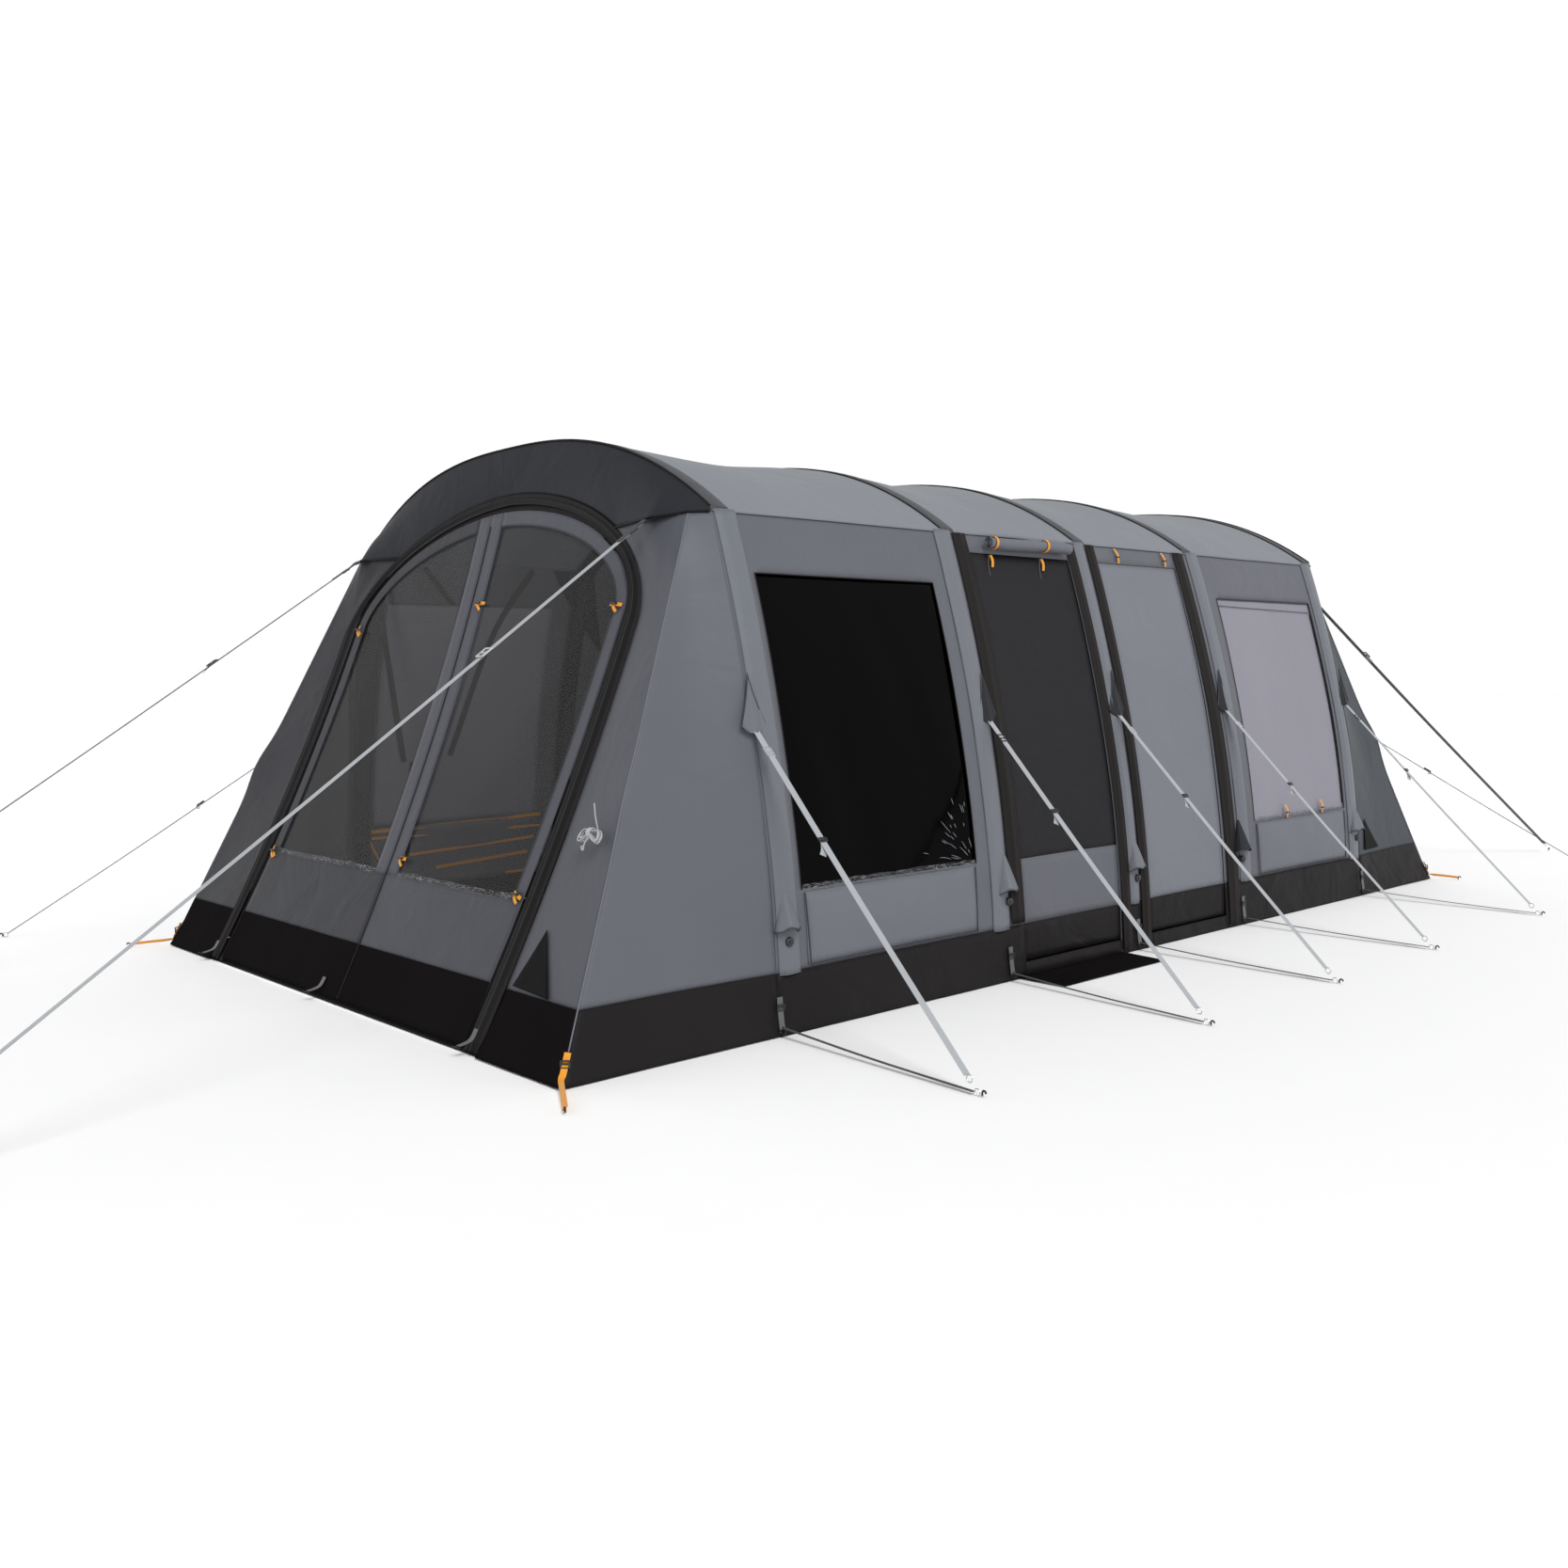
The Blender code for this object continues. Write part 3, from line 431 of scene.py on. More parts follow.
def panel(name, points, material, slot, body="tent", replaced=(), keep=None, awayFrom=middleOfTent,
          facing=None,
          thickness=None):
    """Cloth on a grid of points, its outer side on the grid. keep says which cells are there."""
    rows, columns = points.shape[:2]
    index = np.arange(rows * columns).reshape(rows, columns)
    keep = np.ones((rows - 1, columns - 1), bool) if keep is None else keep
    normals = cellNormals(points)
    centres = (points[1:, 1:] + points[:-1, :-1]) / 2
    away = centres - awayFrom if facing is None else np.broadcast_to(facing, centres.shape)
    corners = [index[:-1, :-1], index[:-1, 1:], index[1:, 1:], index[1:, :-1]]
    if (normals * away)[keep].sum() < 0:
        corners = corners[::-1]  # the outer side faces out
    faces = np.stack(corners, axis=-1)[keep]
    used, faces = np.unique(faces, return_inverse=True)
    faces = faces.reshape(-1, 4)
    u = np.concatenate([[0], np.cumsum(np.linalg.norm(np.diff(points, axis=1), axis=-1).mean(0))])
    v = np.concatenate([[0], np.cumsum(np.linalg.norm(np.diff(points, axis=0), axis=-1).mean(1))])
    uv = np.stack(np.meshgrid(u, v), axis=-1).reshape(-1, 2)
    piece = addMesh(name, points.reshape(-1, 3)[used], faces, uv[used], material)
    cloth = piece.modifiers.new("cloth", "SOLIDIFY")
    cloth.thickness = tent["clothThickness"] if thickness is None else thickness
    cloth.offset = -1.0
    area = float(np.linalg.norm(normals[keep], axis=-1).sum() / 2)
    piece["flatWidth"] = float(np.linalg.norm(np.diff(points, axis=1), axis=-1).sum(1).max())
    piece["flatLength"] = float(np.linalg.norm(np.diff(points, axis=0), axis=-1).sum(0).max())
    piece["flatArea"] = area
    return settle(piece, body, replaced)


def sheetPanel(name, points, look, slot, restsOn, held="stretched", body="tent", replaced=(), **more):
    """A panel of cloth, with its finish looked up by name."""
    cloth = panel(name, points, finish[look], slot, body, replaced, **more)
    return cloth


def sweep(path, section, up=(0, 0, 1), scale=None):
    """A profile (an even number of points, side and up) carried along a path and capped at both ends."""
    path = np.asarray(path, float)
    section = np.asarray(section, float)
    along = unit(np.gradient(path, axis=0))
    side = unit(np.cross(along, np.broadcast_to(np.asarray(up, float), path.shape)))
    top = np.cross(side, along)
    size = np.ones(len(path)) if scale is None else np.asarray(scale, float)
    spread = section[None, :, :1] * side[:, None] + section[None, :, 1:] * top[:, None]
    ring = path[:, None] + size[:, None, None] * spread
    rows, columns = ring.shape[:2]
    index = np.arange(rows * columns).reshape(rows, columns)
    after = np.roll(index, -1, axis=1)
    faces = np.stack([index[:-1], after[:-1], after[1:], index[1:]], axis=-1).reshape(-1, 4)
    points = np.vstack([ring.reshape(-1, 3), ring[0].mean(0), ring[-1].mean(0)])
    first = np.arange(0, columns, 2)
    second, third = (first + 1) % columns, (first + 2) % columns
    startCentre, endCentre = np.full((2, len(first)), rows * columns) + [[0], [1]]
    startCap = np.stack([startCentre, index[0][third], index[0][second], index[0][first]], axis=-1)
    endCap = np.stack([index[-1][first], index[-1][second], index[-1][third], endCentre], axis=-1)
    faces = np.vstack([faces, startCap, endCap])
    around = np.concatenate([[0], np.cumsum(np.linalg.norm(np.diff(section, axis=0), axis=1))])
    length = np.concatenate([[0], np.cumsum(np.linalg.norm(np.diff(path, axis=0), axis=1))])
    uv = np.stack(np.meshgrid(around, length), axis=-1).reshape(-1, 2)
    uv = np.vstack([uv, [around[-1] / 2, 0], [around[-1] / 2, length[-1]]])
    outward = np.cross(ring[:-1, 1] - ring[:-1, 0], ring[1:, 0] - ring[:-1, 0])
    if (outward * (ring[:-1, 0] - path[:-1])).sum() < 0:
        faces = faces[:, ::-1]
    return points, faces, uv


def addShapes(name, shapes, material, body="tent", replaced=(), smooth=True):
    """One piece from several closed shapes that are always together."""
    counts = np.cumsum([0] + [len(shape[0]) for shape in shapes])
    points = np.vstack([shape[0] for shape in shapes])
    faces = np.vstack([shape[1] + start for shape, start in zip(shapes, counts)])
    uv = np.vstack([shape[2] for shape in shapes])
    piece = addMesh(name, points, faces, uv, material, smooth)
    if smooth:
        piece.data.set_sharp_from_angle(angle=math.radians(50))
    return settle(piece, body, replaced)


def roundSection(radius, sides=8):
    turn = np.linspace(0, 2 * math.pi, sides, endpoint=False)
    return radius * np.stack([np.cos(turn), np.sin(turn)], axis=1)


def flatSection(width, thickness):
    """The outline of a tape: six points, so that its middle can crown a little."""
    w, h = width / 2, thickness / 2
    return np.array([(-w, -h * 0.6), (0, -h), (w, -h * 0.6), (w, h * 0.6), (0, h), (-w, h * 0.6)])


def addRod(name, path, radius, look, sides=6, up=(0, 0, 1), body="tent", replaced=()):
    """One round rod, seam or rope that follows a path."""
    return addShapes(name, [sweep(path, roundSection(radius, sides), up=up)], finish[look], body,
                     replaced)


def curveThrough(points, count):
    """Points along a Catmull-Rom curve through a route's own points."""
    route = np.array(points, float)
    ends = np.concatenate([[2 * route[0] - route[1]], route, [2 * route[-1] - route[-2]]])
    place = np.linspace(0, len(route) - 1, count)
    i = np.minimum(place.astype(int), len(route) - 2)
    t = (place - i)[:, None]
    a, b, c, d = ends[i], ends[i + 1], ends[i + 2], ends[i + 3]
    bend = (2 * a - 5 * b + 4 * c - d) * t**2 + (3 * b - a - 3 * c + d) * t**3
    return (2 * b + (c - a) * t + bend) / 2


# The camera: a long lens from the front right, at chest height.
cameraSettings = {"place": (4.938, -5.109, 1.178), "azimuth": 47.54, "pitch": -4.35, "roll": -0.62,
                  "lens": 32.35}
camera = bpy.data.objects.new("camera", bpy.data.cameras.new("camera"))
camera.data.lens = cameraSettings["lens"]
camera.data.sensor_width = 36.0
camera.data.clip_end = 200.0
azimuth, pitch = math.radians(cameraSettings["azimuth"]), math.radians(cameraSettings["pitch"])
look = Vector((-math.sin(azimuth) * math.cos(pitch), math.cos(azimuth) * math.cos(pitch), math.sin(pitch)))
turn = look.to_track_quat("-Z", "Y").to_matrix().to_4x4()
turn.translation = Vector(cameraSettings["place"])
camera.matrix_world = turn
camera.rotation_euler.rotate_axis("Z", math.radians(cameraSettings["roll"]))
bpy.context.scene.collection.objects.link(camera)
bpy.context.scene.camera = camera

# Free straps and ropes, on the routes that their solids in the frame follow.
routes = {
    "side_strap_1": [(1.476, -2.06, 1.0), (1.935, -2.08, 0.524), (2.402, -2.1, 0.052)],
    "side_strap_2": [(1.476, -0.864, 1.0), (1.946, -0.902, 0.524), (2.425, -0.936, 0.052)],
    "side_strap_3": [(1.476, 0.0, 1.0), (1.946, -0.015, 0.524), (2.425, -0.028, 0.052)],
    "side_strap_4": [(1.476, 0.864, 1.0), (1.936, 0.867, 0.524), (2.405, 0.87, 0.052)],
    "side_strap_5": [(1.476, 2.06, 1.0), (1.936, 2.06, 0.524), (2.405, 2.06, 0.052)],
    "ground_strap_1": [(1.585, -2.06, 0.035), (2.0, -2.08, 0.018), (2.427, -2.1, 0.0095)],
    "ground_strap_2": [(1.585, -0.864, 0.035), (2.01, -0.902, 0.018), (2.45, -0.937, 0.0095)],
    "ground_strap_3": [(1.585, 0.0, 0.035), (2.01, -0.015, 0.018), (2.45, -0.028, 0.0095)],
    "ground_strap_4": [(1.585, 0.864, 0.035), (2.0, 0.867, 0.018), (2.43, 0.87, 0.0095)],
    "ground_strap_5": [(1.585, 2.06, 0.035), (2.0, 2.06, 0.018), (2.43, 2.06, 0.0095)],
    "hood_strap_right": [(1.072, -2.206, 1.704), (1.14, -3.4, 0.875), (1.208, -4.61, 0.052)],
    "hood_strap_left": [(-1.072, -2.206, 1.704), (-1.14, -3.4, 0.875), (-1.208, -4.61, 0.052)],
    "rear_strap_right": [(1.072, 2.206, 1.704), (1.32, 3.4, 0.875), (1.58, 4.61, 0.052)],
    "corner_rope_left": [(-1.412, -2.556, 0.795), (-1.88, -2.973, 0.4), (-2.345, -3.387, 0.018)],
    "corner_rope_rear": [(1.412, 2.556, 0.795), (1.88, 2.973, 0.4), (2.345, 3.387, 0.018)],
}
strap = {"width": 0.025, "thickness": 0.0016, "lowWidth": 0.015, "rope": 0.004}
# Pegs stand where the straps pull to: the place of the head and the way the head leans.
pegs = {
    "side_strap_1": (2.457, -2.1), "side_strap_2": (2.48, -0.94), "side_strap_3": (2.48, -0.03),
    "side_strap_4": (2.46, 0.87), "side_strap_5": (2.46, 2.06), "hood_strap_right": (1.21, -4.66),
    "hood_strap_left": (-1.21, -4.66), "rear_strap_right": (1.59, 4.66),
    "corner_rope_left": (-2.36, -3.405), "corner_rope_rear": (2.36, 3.405),
}
pegSize = {"radius": 0.003, "hook": 0.0075, "height": 0.024, "base": 0.0035}


def ringShape(centre, radius, wire, axis, count=14, sides=6, squash=1.0):
    """A closed wire ring about an axis: a circle of wire whose ends meet."""
    axis = unit(np.array(axis, float))
    first = unit(np.cross(axis, (0.31, 0.17, 0.93)))
    second = np.cross(axis, first)
    turn = np.linspace(0, 2 * math.pi, count + 1)
    path = np.array(centre) + radius * (
        np.cos(turn)[:, None] * first + squash * np.sin(turn)[:, None] * second
    )
    return sweep(path, roundSection(wire, sides), up=axis)


def pegShape(place, pull):
    """A steel rod peg, its shaft in the ground and its hooked head above it, leaning away from the pull."""
    pull = unit(np.array((*pull, 0.0)))
    foot = np.array((*place, pegSize["base"]))
    turn = np.linspace(0, math.pi, 9)
    hook = foot + np.outer(1 - np.cos(turn), pull) * -pegSize["hook"] * 0.9
    hook[:, 2] += pegSize["height"] * 0.35 + pegSize["hook"] * np.sin(turn)
    path = np.vstack([foot + (0, 0, 0.0), foot + (0, 0, pegSize["height"] * 0.25), hook])
    return sweep(path, roundSection(pegSize["radius"]), up=np.cross(pull, (0, 0, 1)))


def ladderLock(centre, along, up, size=(0.03, 0.034, 0.006)):
    """A webbing buckle: two side bars and three cross bars, each a rounded rod."""
    along = unit(np.array(along, float))
    side = unit(np.cross(along, up))
    width, length, thick = size
    section = roundSection(thick / 2, 8)
    shapes = []
    for s in (-1, 1):
        edge = np.array(centre) + side * s * width / 2
        shapes.append(sweep([edge - along * length / 2, edge, edge + along * length / 2], section, up=up))
    for share in (-0.48, 0.05, 0.48):
        middle = np.array(centre) + along * share * length
        shapes.append(sweep([middle - side * width / 2, middle, middle + side * width / 2], section, up=up))
    return shapes


# Where the buckle and the tape's keeper stand along a strap, and the keeper's width, length and depth.
sideStrapFit = {"lockAt": 0.09, "keeperAt": 0.46, "keeper": (0.031, 0.014, 0.005)}
hoodStrapFit = {"lockAt": 0.06, "keeperAt": 0.78, "keeper": (0.034, 0.045, 0.007)}
clearLocks = ("side_strap_1", "side_strap_3", "side_strap_4")


def makeStraps():
    """Flat straps and round ropes at their real lengths, with their buckles, tails, rings and pegs."""
    for name, points in routes.items():
        path = curveThrough(points, 41)
        along = unit(path[-1] - path[0])
        low, rope = name.startswith("ground"), name.startswith("corner")
        isHood = name.startswith(("hood", "rear"))
        width = strap["lowWidth"] if low else strap["rope"] if rope else strap["width"]
        up = np.array((0, 0, 1.0))
        if rope:
            line = sweep(path, roundSection(width / 2, 8), up=up)
            piece = addShapes(f"{name}_cord", [line], finish["darkRope"], replaced=[name])
        else:
            section = flatSection(width, strap["thickness"])
            # Ground straps are dark webbing; the left hood strap and the rear strap, the same grey webbing
            # as the right hood strap, are drawn dark as painted shade.
            look = finish["lowAndShadedStrap" if low or name in ("hood_strap_left", "rear_strap_right") else "strap"]
            piece = addShapes(f"{name}_tape", [sweep(path, section, up=up)], look, replaced=[name])
        end = path[-1]
        ring = ringShape(end + along * 0.012, 0.011, 0.0018, np.cross(along, up))
        addShapes(f"{name}_ring", [ring], finish["clearBuckle"])
        if name in pegs:
            place = pegs[name]
            pull = np.array(points[0][:2]) - np.array(place)
            peg = pegShape(place, pull)
            addShapes(f"{name}_peg", [peg], finish["peg"])
        if not low and not rope:
            # The tape doubles back through a buckle, and its spare tail lies under it.
            side = unit(np.cross(along, up))
            lift = np.cross(side, along)
            fit = hoodStrapFit if isHood else sideStrapFit
            lock = path[0] + along * fit["lockAt"]
            look = finish["clearBuckle" if name in clearLocks else "buckle"]
            addShapes(f"{name}_buckle", ladderLock(lock, along, lift), look)
            second = path[0] + along * fit["keeperAt"]
            slide = ladderLock(second, along, lift, fit["keeper"])
            look = finish["clearBuckle" if name == "hood_strap_right" else "buckle"]
            addShapes(f"{name}_keeper", slide, look)
            if isHood:
                web = [path[0] - along * 0.012, path[0] + along * 0.06, path[0] + along * 0.13]
                flat = flatSection(strap["width"], strap["thickness"])
                tape = sweep(np.array(web) + lift * 0.0022, flat, up=lift)
                addShapes(f"{name}_web", [tape], finish["blackWeb"])
            tailStart = second - lift * 0.004
            droop = np.linspace(0, 1, 9)[:, None]
            tail = tailStart + along * droop * 0.05 + side * 0.02 * droop**2 - lift * 0.012 * droop**2
            tape = sweep(tail, flatSection(strap["width"] * 0.9, strap["thickness"]), up=lift)
            addShapes(f"{name}_tail", [tape], finish["strap"])
        if rope:
            slider = path[0] + along * 0.32
            lift = unit(np.cross(np.cross(along, up), along))
            rail = [slider - along * 0.02, slider, slider + along * 0.02]
            shapes = [sweep(np.array(rail) + lift * 0.004, roundSection(0.004), up=up)]
            loop = ringShape(slider + along * 0.02 - lift * 0.004, 0.007, 0.0016, np.cross(along, up))
            addShapes(f"{name}_slider", shapes + [loop], finish["buckle"])
    print("straps and ropes:", len(routes))


def makeHank():
    """The spare corner rope: wound in a flat figure of eight, hung from the corner's ring by its own end."""
    size = {"length": 0.062, "width": 0.105, "turns": 6, "layer": 0.0046, "rope": 0.004}
    low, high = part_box("corner_rope_hank")
    centre = np.array((low + high) / 2)
    slope = math.atan(tent["faceSlope"])
    long = np.array((0, math.sin(slope), math.cos(slope)))
    flat = np.array((1.0, 0, 0))
    out = np.cross(long, flat)
    out = out * (-1 if out[1] > 0 else 1)
    turn = np.linspace(0, size["turns"] * 2 * math.pi, size["turns"] * 30 + 1)
    loop = turn / (2 * math.pi)
    lobe = 1 - 0.1 * np.sin(loop * 2.3) - 0.05 * (loop % 2)
    x = size["width"] / 2 * lobe * np.sin(turn + 0.35)
    droop = -0.016 * np.abs(np.sin(turn + 0.35)) ** 1.5 * (1 + 0.2 * np.sin(loop * 3))
    y = size["length"] / 2 * lobe * np.sin(2 * turn + 0.7) * 0.62 + droop
    layers = (loop - size["turns"] / 2) * size["layer"] * 0.8 + 0.002 * np.sin(turn)
    coil = centre + x[:, None] * flat + y[:, None] * long + layers[:, None] * out
    tab = np.array((1.318, -2.597, 0.795))
    last = coil[0]
    rise = curveThrough([tab, (tab + last) / 2 + out * 0.004, last], 12)[:-1]
    path = np.vstack([rise, coil])
    knots = np.concatenate([[0], np.cumsum(np.linalg.norm(np.diff(path, axis=0), axis=1))])
    even = np.linspace(0, knots[-1], int(knots[-1] / 0.006))
    path = np.stack([np.interp(even, knots, path[:, k]) for k in range(3)], axis=1)
    blur = np.pad(path, ((2, 2), (0, 0)), mode="edge")
    path = (blur[:-4] + 2 * blur[1:-3] + 3 * blur[2:-2] + 2 * blur[3:-1] + blur[4:]) / 9
    line = sweep(path, roundSection(size["rope"] / 2, 8), up=out)
    piece = addShapes("corner_rope_hank_cord", [line], finish["rope"], "tent", ["corner_rope_hank"])
    # Wraps of the cord hold the hank round its waist, and its loose end hangs below.
    wraps = []
    for k in range(4):
        middle = centre + flat * (0.005 * k - 0.0075)
        angle = np.linspace(0, 2 * math.pi, 21)
        ring = middle + np.cos(angle)[:, None] * long * 0.0165 + np.sin(angle)[:, None] * out * 0.0155
        wraps.append(sweep(ring, roundSection(size["rope"] / 2, 8), up=flat))
    end = centre - long * 0.016 + out * 0.004
    fall = curveThrough([end, end - long * 0.02 - flat * 0.008, end - long * 0.045 - flat * 0.002], 9)
    wraps.append(sweep(fall, roundSection(size["rope"] / 2, 8), up=flat))
    knot = centre - long * 0.052 - flat * 0.009 + out * 0.004
    wraps.append(ringShape(knot, 0.0055, size["rope"] / 2, (1, 0.2, 0.3)))
    tie = addShapes("corner_rope_hank_wraps", wraps, finish["rope"])


makeStraps()
makeHank()


# The fly: roof, walls, porches and hoods.
roof = {"rows": 30, "columns": 61, "eaveDrop": 0.014, "bandWidth": 0.078, "piping": 0.0028}


def roofStations():
    """Half widths across the roof, closer together at the shoulders."""
    return tent["shoulderHalf"] * np.sin(np.linspace(-1, 1, roof["columns"]) * math.pi / 2)


def withEaves(points):
    """Adds a turned-down edge outside each shoulder, so that the roof sheds water over the wall."""
    ends = []
    for column, side in ((0, -1), (-1, 1)):
        edge = points[:, column].copy()
        edge[:, 2] -= roof["eaveDrop"]
        edge[:, 0] = side * (wallX(edge[:, 2]) + 0.0045)
        ends.append(edge[:, None])
    return np.concatenate([ends[0], points, ends[1]], axis=1)


endBeam = {"front": "air_beam_1", "rear": "air_beam_5"}


def makeRoof():
    xs = roofStations()
    for i in range(4):
        ys = np.linspace(seamPlanes[i], seamPlanes[i + 1], roof["rows"])
        points = withEaves(onRoof(xs[None, :], ys[:, None], 0.001))
        sheetPanel(f"roof_cloth_{i + 1}", points, "roof", "roof_fabric", [f"air_beam_{i + 1}"],
                   replaced=[f"roof_bay_{i + 1}"])
    # Over each seam a raised band, coloured darker than the roof: painted shade along the seam.
    for i, y in enumerate(seamPlanes):
        width = roof["bandWidth"]
        shift = width * (0.5 if i == 0 else -0.5 if i == 4 else 0)
        across = np.linspace(-0.5, 0.5, 7)
        ys = np.clip(y + shift + across * width, seamPlanes[0], seamPlanes[4])
        crown = 0.003 + 0.004 * (1 - (2 * across) ** 2)
        points = withEaves(onRoof(xs[None, :], ys[:, None], crown[:, None]))
        sheetPanel(f"roof_band_{i + 1}", points, "roofBandShaded", "roof_fabric", [f"roof_cloth_{min(i, 3) + 1}"])
        edge = onRoof(xs, np.full(len(xs), ys[0]), 0.004)
        line = sweep(edge, roundSection(roof["piping"], 6), up=(0, 1, 0))
        addShapes(f"roof_piping_{i + 1}", [line], finish["zipTape"])
    print("roof: 4 bays and", len(seamPlanes), "bands")


wallParts = {
    "windowLength": 0.905,
    "windowFromBeam": 0.135,
    "windowTop": 1.53,
    "doorStart": -0.7625,
    "doorEnd": 0.7245,
    "doorFoot": 0.065,
    "doorTop": 1.66,
    "door": (-0.758, -0.109),
    "panel": (0.106, 0.720),
    "meshFoot": 0.45,
    "cell": 0.03,
}
windowStarts = {
    "front": -tent["endSeam"] + wallParts["windowFromBeam"],
    "rear": tent["endSeam"] - wallParts["windowFromBeam"] - wallParts["windowLength"],
}


def cells(length):
    return max(1, round(abs(length) / wallParts["cell"]))


def stations(*stops):
    """Values through the stops, about one cell apart."""
    return steps(stops[0], *((b, cells(b - a)) for a, b in zip(stops[:-1], stops[1:])))


def openings(ys, zs, holes):
    """Which cells of a wall are cloth: all but those inside a hole (y, y, z, z)."""
    y, z = (ys[1:] + ys[:-1]) / 2, (zs[1:] + zs[:-1]) / 2
    keep = np.ones((len(zs) - 1, len(ys) - 1), bool)
    for y0, y1, z0, z1 in holes:
        keep &= ~(((y > y0) & (y < y1))[None, :] & ((z > z0) & (z < z1))[:, None])
    return keep


def wallPanel(name, side, yStops, zStops, material, slot, holes=(), out=0.0, **more):
    ys, zs = stations(*yStops), stations(*zStops)
    out = out(ys[None, :], zs[:, None]) if callable(out) else out
    points = onWall(side, ys[None, :], zs[:, None], out)
    return panel(name, points, material, slot, keep=openings(ys, zs, holes), facing=(side, 0, 0.2), **more)


def wallLine(name, side, stops, radius=0.0022, look="thread", body="tent", out=0.003):
    """A seam or piping: a thin round line through points (y, z) of the wall."""
    shapes = []
    for (y0, z0), (y1, z1) in zip(stops[:-1], stops[1:]):
        count = max(3, cells(math.hypot(y1 - y0, z1 - z0)) + 1)
        share = np.linspace(0, 1, count)
        path = onWall(side, y0 + (y1 - y0) * share, z0 + (z1 - z0) * share, out)
        shapes.append(sweep(path, roundSection(radius, 6), up=(1, 0.1, 0)))
    return addShapes(name, shapes, finish[look], body)


def pocketOut(y0, y1, z0, z1, depth):
    """A shallow belly between the pocket's edges."""
    def out(y, z):
        a = np.clip((y - y0) / (y1 - y0), 0, 1)
        b = np.clip((z - z0) / (z1 - z0), 0, 1)
        bag = np.sin(math.pi * a) ** 0.6 * np.sin(math.pi * b * 0.8)
        return 0.003 + depth * bag + 0.002 * ripple(y * 4, z * 4, 31)
    return out


def skirtOut(y, z):
    """The skirt hangs over its seam and kicks out unevenly at the ground."""
    low = 1 - np.clip(z / tent["skirt"], 0, 1)
    return 0.0035 + 0.009 * low**2 + 0.003 * low * ripple(y * 2.2, z * 6, 5) + 0.002 * ripple(y * 6, z * 9,
            6) * low


def makeWalls():
    seam, top, skirt, sill = tent["endSeam"], tent["shoulder"], tent["skirt"], tent["sill"]
    head, length = wallParts["windowTop"], wallParts["windowLength"]
    front, rear = windowStarts["front"], windowStarts["rear"]
    frontHole = (front, front + length, sill, head)
    rearHole = (rear, rear + length, sill, head)
    upright = (skirt, sill, head, top)
    start, end = wallParts["doorStart"], wallParts["doorEnd"]
    cloth, slot = finish["wall"], "wall_fabric"
    walls = [
        wallPanel("right_wall_cloth_front", 1, (-seam, front, front + length, start), upright, cloth, slot,
                  [frontHole], replaced=["right_wall_front"]),
        wallPanel("right_wall_cloth_rear", 1, (end, rear, rear + length, seam), upright, cloth, slot,
                  [rearHole], replaced=["right_wall_rear"]),
        wallPanel("left_wall_cloth", -1, (-seam, front, front + length, rear, rear + length, seam), upright,
                  cloth, slot, [frontHole, rearHole], replaced=["left_wall"]),
    ]
    doorRear, panelFront = wallParts["door"][1], wallParts["panel"][0]
    foot, doorTop = wallParts["doorFoot"], wallParts["doorTop"]
    over = doorTop + 0.002
    middle = [
        ("header", (start, end), (over, top)),
        ("jamb", (doorRear + 0.002, panelFront - 0.002), (0.002, over)),
    ]
    for part, ys, zs in middle:
        replaced = ["right_wall_middle"] if part == "header" else []
        walls.append(wallPanel(f"right_wall_cloth_{part}", 1, ys, zs, cloth, slot, replaced=replaced))
    # The mud skirt, and under the doors a black sill, in the lighter copy of the black PVC: painted light on
    # the sides.
    black = finish["skirtLit"]
    low, high = 0.0015, skirt + 0.003
    skirts = [
        ("right_skirt_front", 1, (-seam, start + 0.002), (low, high)),
        ("right_skirt_jamb", 1, (doorRear + 0.004, panelFront - 0.004), (low, high)),
        ("right_skirt_rear", 1, (end - 0.002, seam), (low, high)),
        ("left_skirt", -1, (-seam, seam), (low, high)),
        ("side_door_sill", 1, (start + 0.002, doorRear + 0.004), (low, foot - 0.004)),
        ("side_panel_sill", 1, (panelFront - 0.004, end - 0.002), (low, foot - 0.004)),
    ]
    for name, side, ys, zs in skirts:
        wallPanel(name, side, ys, zs, black, slot, out=skirtOut)
    print("walls and skirts:", len(walls) + len(skirts))


